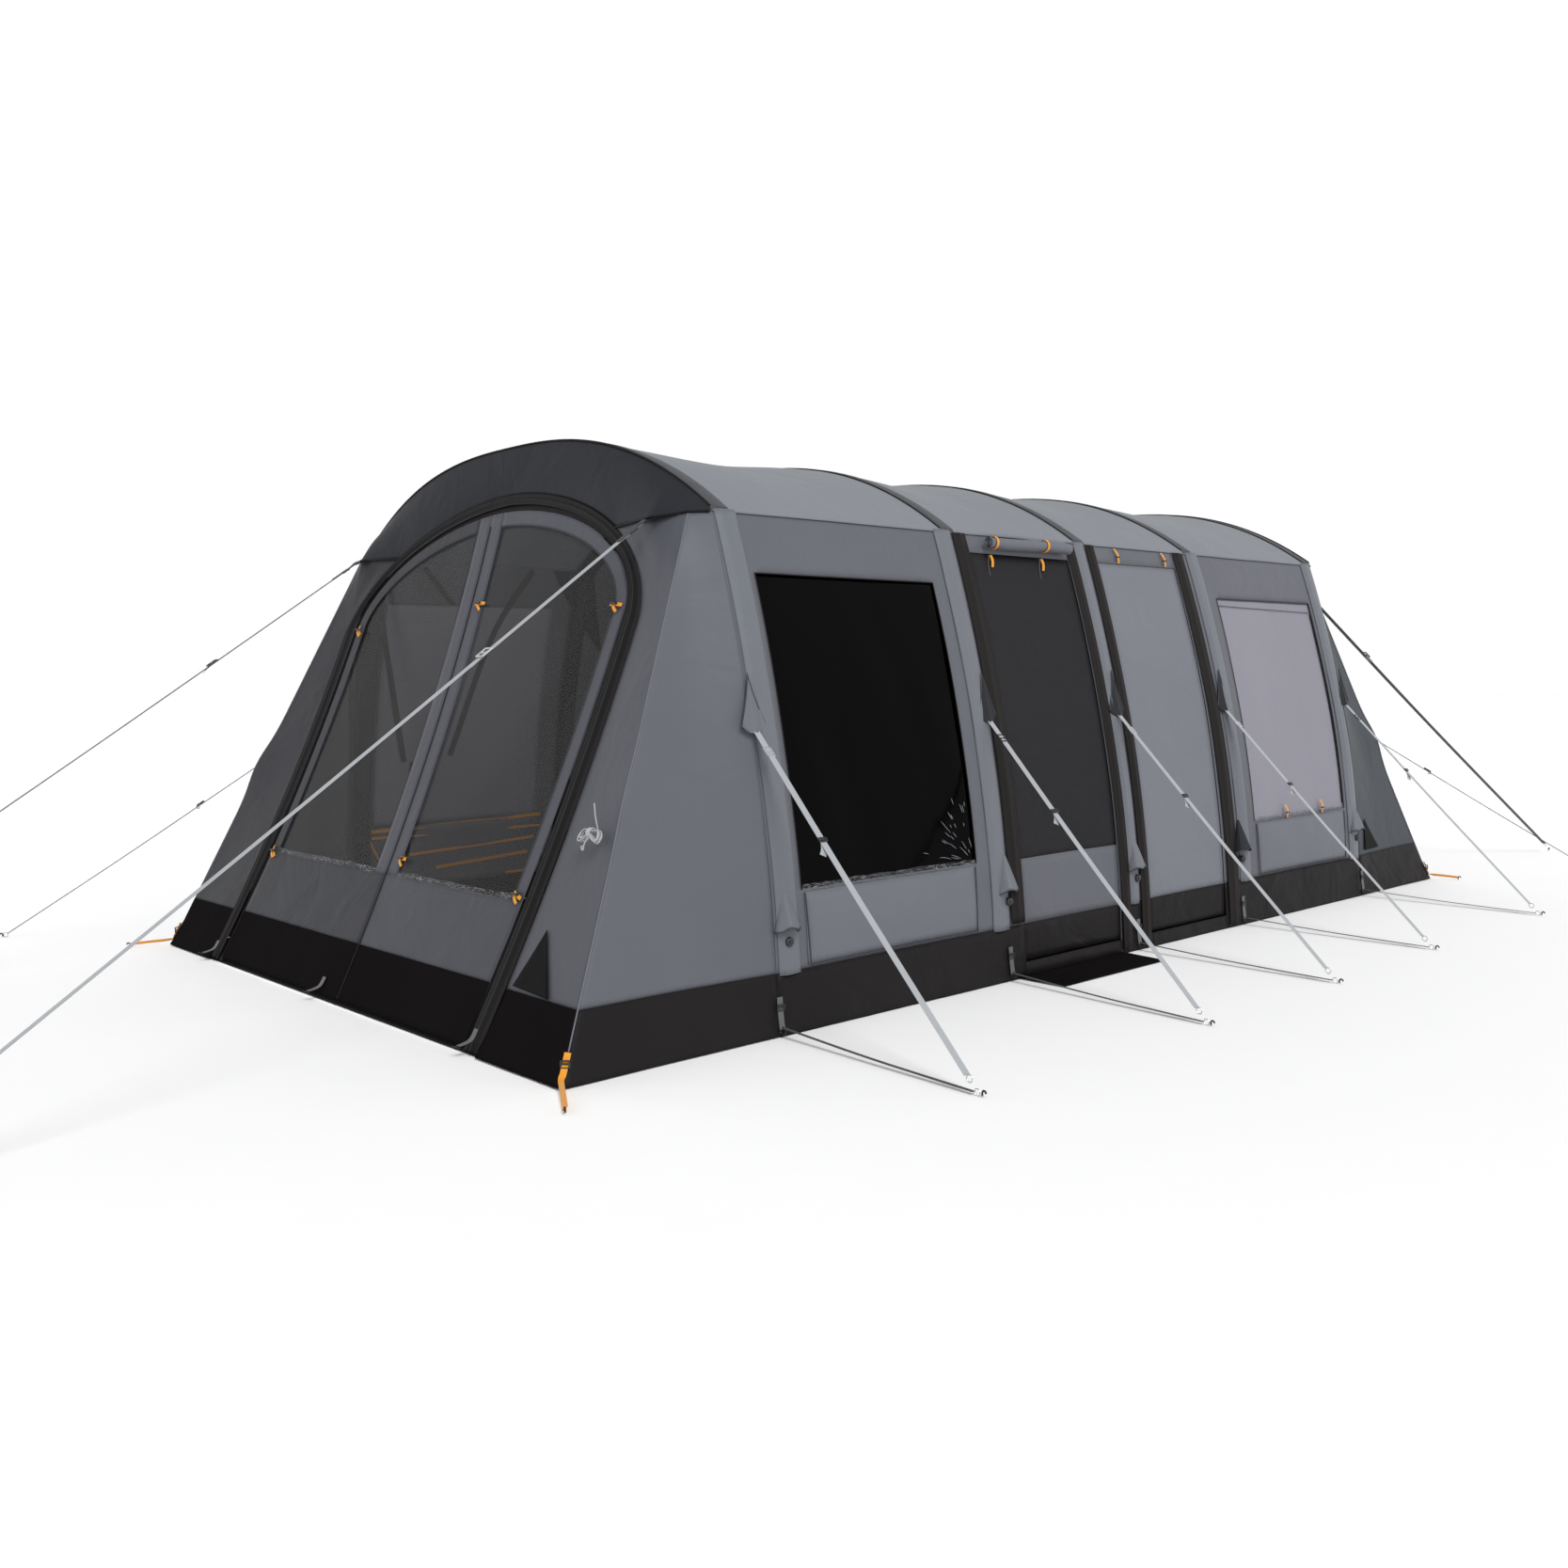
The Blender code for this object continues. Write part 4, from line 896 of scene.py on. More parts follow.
def makeSideDoors():
    """The mesh door with its cloth and skirt foot, and the closed panel next to it."""
    (d0, d1), (p0, p1) = wallParts["door"], wallParts["panel"]
    foot, top, skirt = wallParts["doorFoot"], wallParts["doorTop"], tent["skirt"]
    meshFoot = wallParts["meshFoot"]
    door, closed = (d0, d1), (p0, p1)
    # The door's and panel's skirts take the lighter copy of the black PVC: painted light.
    cloths = [
        ("side_door_mesh", door, (meshFoot, top), "mesh", "mesh_fabric", -0.004),
        ("side_door_cloth", door, (skirt, meshFoot + 0.01), "wall", "wall_fabric", -0.002),
        ("side_door_skirt", door, (foot, skirt + 0.003), "skirtLit", "wall_fabric", 0.0),
        ("side_panel_cloth", closed, (skirt, top), "panelCloth", "wall_fabric", -0.002),
        ("side_panel_skirt", closed, (foot, skirt + 0.003), "skirtLit", "wall_fabric", 0.0),
    ]
    stands = {"side_door_mesh": ["side_door"], "side_panel_cloth": ["side_panel"]}
    for name, ys, zs, look, slot, out in cloths:
        body = name.rsplit("_", 1)[0]
        cloth = wallPanel(name, 1, ys, zs, finish[look], slot, body=body, replaced=stands.get(name, ()),
                          out=out)
    # Bands that cover the zips: y and width at the top, y and width at the foot.
    bands = {
        "door_band_front": ((-0.803, 0.078), (-0.803, 0.084)),
        "door_band_rear": ((-0.079, 0.056), (-0.076, 0.06)),
        "panel_band_front": ((0.068, 0.06), (0.066, 0.066)),
        "panel_band_rear": ((0.766, 0.082), (0.79, 0.094)),
    }
    for name, ((yTop, wTop), (yFoot, wFoot)) in bands.items():
        start = tent["skirt"] + 0.013 if name == "door_band_front" else 0.012
        zs = np.linspace(start, tent["shoulder"] - 0.012, 50)
        share = (zs / tent["shoulder"])[:, None]
        across = np.linspace(-0.5, 0.5, 9)[None, :]
        ys = yFoot + (yTop - yFoot) * share + across * (wFoot + (wTop - wFoot) * share)
        out = 0.006 + 0.007 * (1 - (2 * across) ** 2) + 0.009 * (1 - share) ** 8
        out = out + 0.0025 * np.cos(across * 4 * math.pi)
        points = onWall(1, ys, zs[:, None], out)
        sheetPanel(name, points, "zipTape", "wall_fabric", ["right_wall_cloth_header"], held="hung",
                   facing=(1, 0, 0.2))
    print("side doors and", len(bands), "zip bands")


def makeWindows():
    """Side windows: a tinted pane, or a closed curtain behind clear film, with a pocket under each."""
    length, sill, head = wallParts["windowLength"], tent["sill"], wallParts["windowTop"]
    for side, sideName in ((1, "right"), (-1, "left")):
        for end, y0 in windowStarts.items():
            y1 = y0 + length
            isOpen = side == 1 and end == "front"
            name = f"{sideName}_window_{end}"
            look = finish["tinted"] if isOpen else finish["curtain"]
            slot = "clear_vinyl"
            pull = (lambda y, z: -0.006 + 0.004 * ripple(y * 3, z * 2.2, 41)) if isOpen else (
                lambda y, z: -0.007 + 0.003 * ripple(y * 2.6, z * 1.3, 42, 7, 3, 11)
            )
            ySpan, zSpan = (y0 - 0.012, y1 + 0.012), (sill - 0.012, head + 0.012)
            pane = wallPanel(f"{name}_pane", side, ySpan, zSpan, look, slot, out=pull, replaced=[name])
            # The film's gathered hem, and the pocket that it drops into.
            hemOut = lambda y, z: 0.002 + 0.005 * ripple(y * 14, z * 22, 51, 8, 2, 9)
            ys, zs = stations(y0 + 0.004, y1 - 0.004), np.linspace(sill - 0.01, sill + 0.016, 6)
            ys = np.linspace(ys[0], ys[-1], 140)
            points = onWall(side, ys[None, :], zs[:, None], hemOut(ys[None, :], zs[:, None]))
            points[..., 2] += 0.004 * ripple(ys * 9, 0 * ys, 52, 7, 2, 9)[None, :]
            sheetPanel(f"{name}_hem", points, "crinkle", slot, [f"{name}_pane"], held="hung",
                       facing=(side, 0, 0))
            z0, z1 = tent["skirt"] + 0.012, sill - 0.008
            depth = pocketOut(y0 + 0.01, y1 - 0.01, z0, z1, 0.02)
            pocket = wallPanel(f"{name}_pocket", side, (y0 + 0.01, y1 - 0.01), (z0, z1), finish["pocket"],
                               "wall_fabric", out=depth)
            edges = [(y0 + 0.012, z1 - 0.004), (y0 + 0.02, z0), (y1 - 0.02, z0), (y1 - 0.012, z1 - 0.004)]
            wallLine(f"{name}_pocket_seam", side, edges, 0.0022, "thread", out=0.006)
            outline = [(y0, sill), (y0, head), (y1, head), (y1, sill)]
            wallLine(f"{name}_piping", side, outline, 0.002, "thread" if not isOpen else "zipTape",
                     out=0.001)
    # Pale thin lines that fan out from the open window's lower rear corner, where its film is gathered:
    # painted highlights on the film's creases.
    y1 = windowStarts["front"] + length
    random = np.random.RandomState(57)
    creases = []
    for k in range(26):
        angle, first = random.uniform(0.1, 1.5), random.uniform(0.02, 0.24)
        reach = first + random.uniform(0.02, 0.07) * (1.2 - 0.5 * angle)
        share = np.linspace(first, reach, 7)
        bend = 0.006 * np.sin(share * 40 + k)
        ys, zs = y1 - 0.015 - share * math.cos(angle) + bend, sill + 0.012 + share * math.sin(angle) - bend
        size = 0.35 + 0.65 * np.sin(np.linspace(0, math.pi, 7))
        creases.append(sweep(onWall(1, ys, zs, 0.001), roundSection(0.0008, 6), up=(1, 0, 0), scale=size))
    addShapes("right_window_front_glints", creases, finish["glint"])
    rear = windowStarts["rear"]
    wallLine("curtain_seam", 1, [(rear, head - 0.035), (rear + length, head - 0.05)], 0.0016, "thread",
             out=-0.002)
    zs = np.linspace(tent["sill"] + 0.03, head - 0.06, 24)
    ys = rear + length - 0.012 + 0.01 * ((zs - 1.0) ** 2)
    edge = onWall(1, ys, zs, -0.001)
    addRod("curtain_edge", edge, 0.0035, "zipTape", up=(0, 1, 0))
    print("side windows: 4")


sleeves = {"centres": (-2.003, -0.898, -0.01, 0.893, 2.003), "width": 0.098, "narrow": 0.074, "rise": 0.011}


def makeSleeves():
    """The beams' sleeves, stitched down both edges and rounded by the beam inside."""
    for side, sideName in ((1, "right"), (-1, "left")):
        for i, y in enumerate(sleeves["centres"]):
            if side < 0:
                y = (seamPlanes[i] + 0.05) if i == 0 else (seamPlanes[i] - 0.05) if i == 4 else seamPlanes[i]
            width = sleeves["narrow"] if i == 2 and side > 0 else sleeves["width"]
            zs = np.linspace(tent["skirt"] - 0.004, tent["shoulder"] - 0.004, 60)
            across = np.linspace(-0.5, 0.5, 13)[None, :]
            z = zs[:, None]
            lean = 0.02 * (1 - z / tent["shoulder"]) * (i == 3 and side > 0)
            crown = np.cos(math.pi * across) ** 0.7
            out = 0.003 + sleeves["rise"] * crown + 0.0016 * ripple(across * 6 + i, z * 2.4, 60 + i)
            out = out + 0.004 * np.exp(-((across + 0.22) / 0.05) ** 2)
            points = onWall(side, y + lean + across * width, z, out)
            sheetPanel(f"{sideName}_sleeve_{i + 1}", points, "sleeve", "beam_sleeve", [f"air_beam_{i + 1}"],
                       facing=(side, 0, 0.2))
    print("beam sleeves: 10")


corner = {"rows": 70, "columns": 26, "sideColumns": 34, "tabHeight": 0.8, "tabPull": 0.02}
cornerFoot = np.array((tent["footHalf"], tent["halfLength"], 0.0))


def tabBump(height, share):
    """How far the tie-out tab pulls the crease, by height and share of the way from the crease."""
    near = np.exp(-((height - corner["tabHeight"]) / 0.11) ** 2)
    return corner["tabPull"] * near * np.exp(-(share / 0.3) ** 2)


def cornerFace(t, s):
    """The corner's front part: from the zip band (s = 0) to the crease (s = 1), t up it."""
    band = doorEdge(t, bandArch)
    crease = cornerFoot + (creaseTop - cornerFoot) * t[:, None]
    joinPoint = doorEdge(np.array([1.0]), bandArch)[0]
    points = band[:, None] + (crease - band)[:, None] * s[None, :, None]
    flat = joinPoint + (creaseTop - joinPoint) * s[:, None]
    toTip = joinPoint + (hoodTip - joinPoint) * (s / 0.66)[:, None]
    toCrease = hoodTip + (creaseTop - hoodTip) * ((s - 0.66) / 0.34)[:, None]
    target = np.where((s < 0.66)[:, None], toTip, toCrease)
    pull = np.clip((t - 0.86) / 0.14, 0, 1) ** 2
    points = points + pull[:, None, None] * (target - flat)[None]
    outward = unit(np.array((0.25, 1.0, 0.45)))
    height = points[..., 2]
    waves = 0.006 * ripple(points[..., 0] * 1.9, height * 1.1,
                           71) * np.sin(math.pi * np.clip(s, 0, 1))[None]
    fan = 0.004 * np.sin(s[None] * 16) * pull[:, None] * (1 - pull[:, None]) * 3
    pulled = unit(np.array((1.0, 1.0, 0.4))) * tabBump(height, 1 - s[None])[..., None]
    return points + pulled + outward * (waves + fan)[..., None]


def cornerSide(t, s):
    """The corner's side part: from the crease (s = 0) back to the end beam (s = 1)."""
    crease = cornerFoot + (creaseTop - cornerFoot) * t[:, None]
    height = creaseTop[2] * t
    leg = np.stack([wallX(height), np.full(len(t), tent["endSeam"]), height], axis=-1)
    points = crease[:, None] + (leg - crease)[:, None] * s[None, :, None]
    hollow = 0.022 * (np.sin(math.pi * s) ** 1.2)[None] * np.sin(math.pi * t)[:, None]
    waves = 0.007 * ripple(points[..., 1] * 1.9, points[..., 2] * 0.9, 72) * np.sin(math.pi * s)[None]
    points[..., 0] += waves - hollow
    return points + unit(np.array((1.0, 1.0, 0.4))) * tabBump(points[..., 2], s[None])[..., None]


def cornerSkirtOut(points, direction):
    low = 1 - np.clip(points[..., 2:3] / tent["skirt"], 0, 1)
    wave = ripple(points[..., :1] * 2.5 + points[..., 1:2] * 2.5, points[..., 2:3] * 8, 77)
    return points + direction * (0.0035 + 0.008 * low**2 + 0.004 * low * wave)


def makeCorners():
    change = tent["skirt"] / creaseTop[2]
    rows = np.linspace(change, 1, corner["rows"])
    low = np.linspace(0.001, change + 0.002, 14)
    s = np.linspace(0, 1, corner["columns"])
    s2 = np.linspace(0, 1, corner["sideColumns"])
    faceOut, sideOut = unit(np.array((0.1, 1.0, 0.4))), np.array((1.0, 0.0, 0.15))
    for end, ySign in (("front", -1), ("rear", 1)):
        for side, xSign in (("right", 1), ("left", -1)):
            flip = np.array((xSign, ySign, 1))
            label = f"{end}_corner_{side}"
            # The front left corner and both rear corners take darker copies of the cloth: painted shade.
            faceLook = "cornerRearShaded" if end == "rear" else "cornerFace" if side == "right" else "cornerLeftShaded"
            sideLook = "cornerRearShaded" if end == "rear" else "wall"
            parts = {
                "face": (cornerFace(rows, s), faceLook, faceOut),
                "side": (cornerSide(rows, s2), sideLook, sideOut),
            }
            for part, (points, look, out) in parts.items():
                sheetPanel(f"{label}_{part}", points * flip, look, "wall_fabric", [endBeam[end]],
                           facing=out * flip, replaced=[label] if part == "face" else [])
            skirtParts = {
                "face": (cornerSkirtOut(cornerFace(low, s), faceOut), faceOut),
                "side": (cornerSkirtOut(cornerSide(low, s2), sideOut), sideOut),
            }
            for part, (points, out) in skirtParts.items():
                # The corner skirt's side part takes the lighter copy of the black PVC (painted light), its
                # face part the darker one (painted shade).
                look = finish["skirtLit" if part == "side" else "skirt"]
                cloth = panel(f"{label}_skirt_{part}", points * flip, look, "wall_fabric",
                              facing=out * flip)
            # A thin rod along the crease, coloured lighter than the cloth: a painted highlight where the
            # crease catches the light.
            t = np.linspace(0.01, 0.995, 60)
            line = cornerSide(t, np.array([0.0]))[:, 0] + np.array((0.0015, 0.0015, 0))
            addRod(f"{label}_crease", line * flip, 0.0025, "creaseHighlight")
    print("corners: 4")


hood = {"rows": 18, "belly": 0.012}


def hoodEdge():
    """The hood's lower edge from the right shoulder over the tip and the zip band's arch to the left."""
    leg = np.array((float(wallX(creaseTop[2])), tent["endSeam"] + 0.0015, creaseTop[2]))
    joinPoint = doorEdge(np.array([1.0]), bandArch)[0]
    share = np.linspace(0, 1, 9)[:-1, None]
    straight = np.vstack([a + (b - a) * share for a,
                          b in ((leg, creaseTop), (creaseTop, hoodTip), (hoodTip, joinPoint))])
    first = np.arccos((joinPoint[0] / bandArch["half"]) ** (bandArch["power"] / 2))
    turn = np.linspace(first, math.pi / 2, 26)
    x = bandArch["half"] * np.maximum(np.cos(turn), 0) ** (2 / bandArch["power"])
    z = bandArch["spring"] + (bandArch["top"] - bandArch["spring"]) * np.sin(turn) ** (2 / bandArch["power"])
    arch = np.stack([x, faceReach(z), z], axis=-1)
    half = np.vstack([straight, arch])
    return np.vstack([half, half[-2::-1] * (-1, 1, 1)])


def makeHoods():
    lower = hoodEdge()
    scale = tent["shoulderHalf"] / lower[0, 0]
    x = lower[:, 0] * scale
    upper = np.stack([x, np.full(len(x), tent["endSeam"]), roofZ(x) + 0.002], axis=-1)
    v = np.linspace(0, 1, hood["rows"])[:, None, None]
    points = upper + (lower - upper) * v
    middle = np.array((0, tent["endSeam"] - 0.3, 1.2))
    outward = unit(points - middle)
    swell = hood["belly"] * np.sin(math.pi * v) * np.clip(1 - (np.abs(x) / 1.25) ** 6, 0, 1)[None, :, None]
    folds = 0.005 * ripple(points[..., 0] * 1.9, v[..., 0] * 0.9, 81)[..., None] * np.sin(math.pi * v)
    points = points + outward * (swell + folds + 0.002)
    for end, ySign in (("front", -1), ("rear", 1)):
        flip = np.array((1, ySign, 1))
        sheetPanel(f"{end}_hood_cloth", points * flip, "hood", "hood_fabric", [endBeam[end]],
                   awayFrom=middle * flip, replaced=[f"{end}_hood"])
        edge = (lower + (0, 0.004, -0.001)) * flip
        addRod(f"{end}_hood_hem", edge, 0.0045, "band", up=(0, ySign, 0.3))
        top = (upper + (0, 0.0, 0.003)) * flip
        addRod(f"{end}_hood_seam", top, 0.004, "zipTape", up=(0, 1, 0))
        # A stitched webbing web runs from the hood's tip to the storm strap's buckle.
        for side in (1, -1):
            shoulder = creaseTop * (side, 1, 1)
            inner = np.array((side * 0.955, faceReach(1.712) - 0.004, 1.715))
            pointEnd = np.array((side * 1.073, 2.235, 1.688))
            grid = []
            for share in np.linspace(0, 1, 7):
                a = shoulder + (pointEnd - shoulder) * share**0.8
                b = inner + (pointEnd - inner) * share**0.8
                row = a + (b - a) * np.linspace(0, 1, 9)[:, None]
                row[:, 2] += 0.01 * math.sin(math.pi * share)
                grid.append(row)
            sheetPanel(f"{end}_hood_web_{'right' if side > 0 else 'left'}", np.array(grid) * flip, "hood",
                       "hood_fabric", [f"{end}_hood_cloth"], facing=(0, ySign * 0.3, 1))
    print("hoods: 2")


def bandPath(arch, start=0.012):
    """Both sides and the arch of an edge of the porch's face, right foot to left foot."""
    z = np.linspace(start, arch["spring"], 40)[:-1]
    turn = np.linspace(0, math.pi / 2, 46)
    x = arch["half"] * np.maximum(np.cos(turn), 0) ** (2 / arch["power"])
    high = arch["spring"] + (arch["top"] - arch["spring"]) * np.sin(turn) ** (2 / arch["power"])
    half = np.stack([np.concatenate([np.full(len(z), arch["half"]), x]), np.concatenate([z, high])],
                    axis=-1)
    return np.vstack([half, half[-2::-1] * (-1, 1)])


def makeZipBands():
    """The cover over the front door's zip, and its twin behind: a soft double ridge."""
    # The cover starts a little way off the door's edge, so that the opening leaf clears it.
    inner, outer = bandPath(dict(doorArch, half=1.028, spring=1.40, top=1.866)), bandPath(bandArch)
    edges = [bandPath(dict(doorArch, half=1.0015, top=1.8465)),
             bandPath(dict(doorArch, half=1.04, top=1.872))]
    across = np.linspace(0, 1, 11)
    flatPath = inner[None] + (outer - inner)[None] * across[:, None, None]
    ridge = 0.005 + 0.006 * np.sin(math.pi * across) + 0.003 * np.cos(across * 4 * math.pi)
    out = np.broadcast_to(ridge[:, None], flatPath.shape[:2])
    for end, sign in (("front", -1), ("rear", 1)):
        points = onFace(flatPath[..., 0], flatPath[..., 1], out, sign)
        sheetPanel(f"{end}_zip_band", points, "band", "hood_fabric", [f"{end}_hood_cloth"],
                   facing=(0, sign, 0.4))
        tape = edges[0][None] + (edges[1] - edges[0])[None] * np.linspace(0, 1, 5)[:, None, None]
        sheetPanel(f"{end}_zip_tape", onFace(tape[..., 0], tape[..., 1], -0.004, sign), "zipTape",
                   "hood_fabric", [f"{end}_zip_band"], facing=(0, sign, 0.4))
        edge = onFace(outer[:, 0], outer[:, 1], 0.006, sign)
        addRod(f"{end}_zip_band_edge", edge, 0.003, "zipTape", up=(0, sign, 0.4))
    print("zip bands: 2")


leaf = {"splitFoot": 0.09, "splitLean": 0.1, "strip": 0.085, "sill": 0.455, "foot": 0.02, "gap": 0.002}


def makeDoorLeaves():
    """Each leaf: an arched border round its window, the centre strip, a cloth foot and a black skirt."""
    for side, name in ((1, "right"), (-1, "left")):
        body = f"front_door_{name}"

        def split(z):
            return side * (leaf["splitFoot"] - leaf["splitLean"] * z) + leaf["gap"]

        def stripEdge(z):
            return split(z) + leaf["strip"]

        def place(x, z, out=0.0):
            return onFace(side * x, z, out)

        def archTurn(arch, stop):
            """The arch from its spring to where it meets the centre strip."""
            turn = np.linspace(0, math.pi * 0.62, 900)
            c = np.cos(turn)
            x = arch["half"] * np.sign(c) * np.abs(c) ** (2 / arch["power"])
            z = arch["spring"] + (arch["top"] - arch["spring"]) * np.sin(turn) ** (2 / arch["power"])
            last = int(np.argmax(x < stop(z)))
            pick = np.linspace(0, last, 44).astype(int)
            up = np.linspace(leaf["sill"], arch["spring"], 26)[:-1]
            return np.concatenate([np.full(25, arch["half"]), x[pick]]), np.concatenate([up, z[pick]])

        outerArch = dict(doorArch, half=doorArch["half"] - leaf["gap"], top=doorArch["top"] - leaf["gap"])
        facing = (0, -1, 0.4)
        xo, zo = archTurn(outerArch, stripEdge)
        xi, zi = archTurn(paneArch, stripEdge)
        s = np.linspace(0, 1, 7)[:, None]
        border = place(xo + (xi - xo) * s, zo + (zi - zo) * s, 0.001)
        clothName = f"{body}_border"
        # The left leaf takes the darker copy of the leaf cloth: painted shade.
        sheetPanel(clothName, border, "face" if side > 0 else "faceLeftShaded", "wall_fabric",
                   [f"front_corner_{name}_face"], held="hung", body=body, replaced=[body], facing=facing)

        def columnTops(start, end, arch, shares):
            """Where leaning columns between two edges meet the arch, found by repeating."""
            z = np.full(len(shares), arch["top"])
            for _ in range(12):
                x = start(z) + (end(z) - start(z)) * shares
                z = archHeight(x, arch)
            return z

        shares = np.linspace(0, 1, 5)
        tops = columnTops(split, stripEdge, outerArch, shares)
        z = leaf["sill"] + (tops - leaf["sill"]) * np.linspace(0, 1, 44)[:, None]
        strip = place(split(z) + (stripEdge(z) - split(z)) * shares, z, 0.0015)
        sheetPanel(f"{body}_strip", strip, "face", "wall_fabric", [clothName], held="hung", body=body,
                   facing=facing)

        outer = outerArch["half"]
        # On the left leaf the foot cloth is also the darker copy: painted shade.
        for part, (z0, z1), look, out in (
            ("cloth", (tent["skirt"], leaf["sill"]), "faceFoot" if side > 0 else "faceLeftShaded", 0.001),
            ("skirt", (leaf["foot"], tent["skirt"] + 0.003), "skirt", 0.003),
        ):
            z = np.linspace(z0, z1, 12)[:, None]
            c = np.linspace(0, 1, 40)[None, :]
            x = split(z) + (outer - split(z)) * c
            wave = 0.002 * ripple(x * 2, z * 5, 91) * (1 if part == "cloth" else 2)
            sheetPanel(f"{body}_{part}", place(x, z, out + wave), look, "wall_fabric", [clothName],
                       held="hung", body=body, facing=facing)

        shares = np.sin(np.linspace(0, 1, 36) * math.pi / 2)
        tops = columnTops(lambda z: stripEdge(z) - 0.01, lambda z: 0 * z + paneArch["half"] + 0.008,
                          dict(paneArch, half=paneArch["half"] + 0.008, top=paneArch["top"] + 0.008),
                          shares)
        z = leaf["sill"] - 0.01 + (tops - leaf["sill"] + 0.01) * np.linspace(0, 1, 50)[:, None]
        x = stripEdge(z) - 0.01 + (paneArch["half"] + 0.018 - stripEdge(z)) * shares
        wave = -0.004 + 0.0025 * ripple(x * 2.4, z * 1.6, 92)
        sheetPanel(f"front_window_{name}_pane", place(x, z, wave), "clear", "clear_vinyl", [clothName],
                   body=body, replaced=[f"front_window_{name}"], facing=facing)
        # The film is gathered where it is sewn along its foot and up its sides.
        x = np.linspace(float(stripEdge(leaf["sill"])), paneArch["half"], 130)
        z = np.linspace(leaf["sill"] - 0.004, leaf["sill"] + 0.016, 5)[:, None]
        z = z + 0.004 * ripple(x * 9, 0 * x, 93, 7, 2, 9)
        out = 0.002 + 0.004 * ripple(x * 14, z * 22, 94, 8, 2, 9)
        sheetPanel(f"front_window_{name}_hem", place(np.broadcast_to(x, z.shape), z, out), "crinkle",
                   "clear_vinyl", [f"front_window_{name}_pane"], held="hung", body=body, facing=facing)
        line = place(xi, zi, 0.002)
        addRod(f"front_window_{name}_seam", line, 0.0018, "thread", up=(0, -1, 0.4),
               body=body)
        z = np.linspace(leaf["foot"] + 0.004, float(tops[0]), 30)
        seam = place(split(z) + 0.004, z, 0.003)
        if side > 0:
            addRod("front_door_split_zip", seam, 0.0022, "zipTape", up=(0, -1, 0.4),
                   body=body)
    print("door leaves: 2")


def makeRearWall():
    """The rear porch's closed face, with a skirt and a zip down its middle."""
    x = (doorArch["half"] - 0.001) * np.sin(np.linspace(-1, 1, 41) * math.pi / 2)
    crown = archHeight(x, doorArch) - 0.001
    rows = np.linspace(0, 1, 40)[:, None]
    z = tent["skirt"] + (crown - tent["skirt"]) * rows
    wave = 0.003 * ripple(x * 1.5, z, 96)
    sheetPanel("rear_wall_cloth", onFace(x, z, wave, 1), "wall", "wall_fabric", ["air_beam_5"],
               replaced=["rear_wall"], facing=(0, 1, 0.4))
    z = np.linspace(0.002, tent["skirt"] + 0.003, 12)[:, None]
    wave = 0.003 + 0.003 * ripple(x * 2, z * 5, 97)
    sheetPanel("rear_wall_skirt", onFace(x, z, wave, 1), "skirt", "wall_fabric", ["groundsheet"],
               held="hung", facing=(0, 1, 0.4))
    z = np.linspace(0.02, doorArch["top"] - 0.02, 40)
    line = onFace(0 * z, z, 0.005, 1)
    addRod("rear_wall_zip", line, 0.004, "zipTape", up=(0, 1, 0.4))
    print("rear wall")


makeRoof()
makeWalls()
makeSideDoors()
makeWindows()
makeSleeves()
makeCorners()
makeHoods()
makeZipBands()
makeDoorLeaves()
makeRearWall()


# Beams, valves and their covers, guy flaps, toggles, loops, mat, floor and bedroom.
beam = {"radius": 0.0385, "inset": 0.0465}


def beamOutline():
    """The beam's middle line, drawn in from the fly by the same amount all round."""
    z = np.linspace(0.008, tent["shoulder"], 60)
    turn = np.linspace(1, 0, 40)[1:]
    x = tent["shoulderHalf"] * np.sin(turn * math.pi / 2)
    half = np.vstack([np.stack([wallX(z), z], axis=1), np.stack([x, roofZ(x)], axis=1)])
    outline = np.vstack([half, half[-2::-1] * (-1, 1)])
    along = unit(np.gradient(outline, axis=0))
    inward = np.stack([-along[:, 1], along[:, 0]], axis=1)
    path = outline + inward * beam["inset"]
    for _ in range(3):
        path[1:-1] = (path[:-2] + 2 * path[1:-1] + path[2:]) / 4
    path[0, 1] = path[-1, 1] = 0.008
    return path


def makeBeams():
    path = beamOutline()
    for i, y in enumerate(beamPlanes):
        line = np.stack([path[:, 0], np.full(len(path), y), path[:, 1]], axis=1)
        tube = sweep(line, roundSection(beam["radius"], 16), up=(0, 1, 0))
        addShapes(f"air_beam_{i + 1}_tube", [tube], finish["beam"], "tent",
                  [f"air_beam_{i + 1}"])
    print("air beams:", len(beamPlanes))


cover = {"top": 0.49, "length": 0.15, "topRadius": 0.006, "footRadius": 0.052}


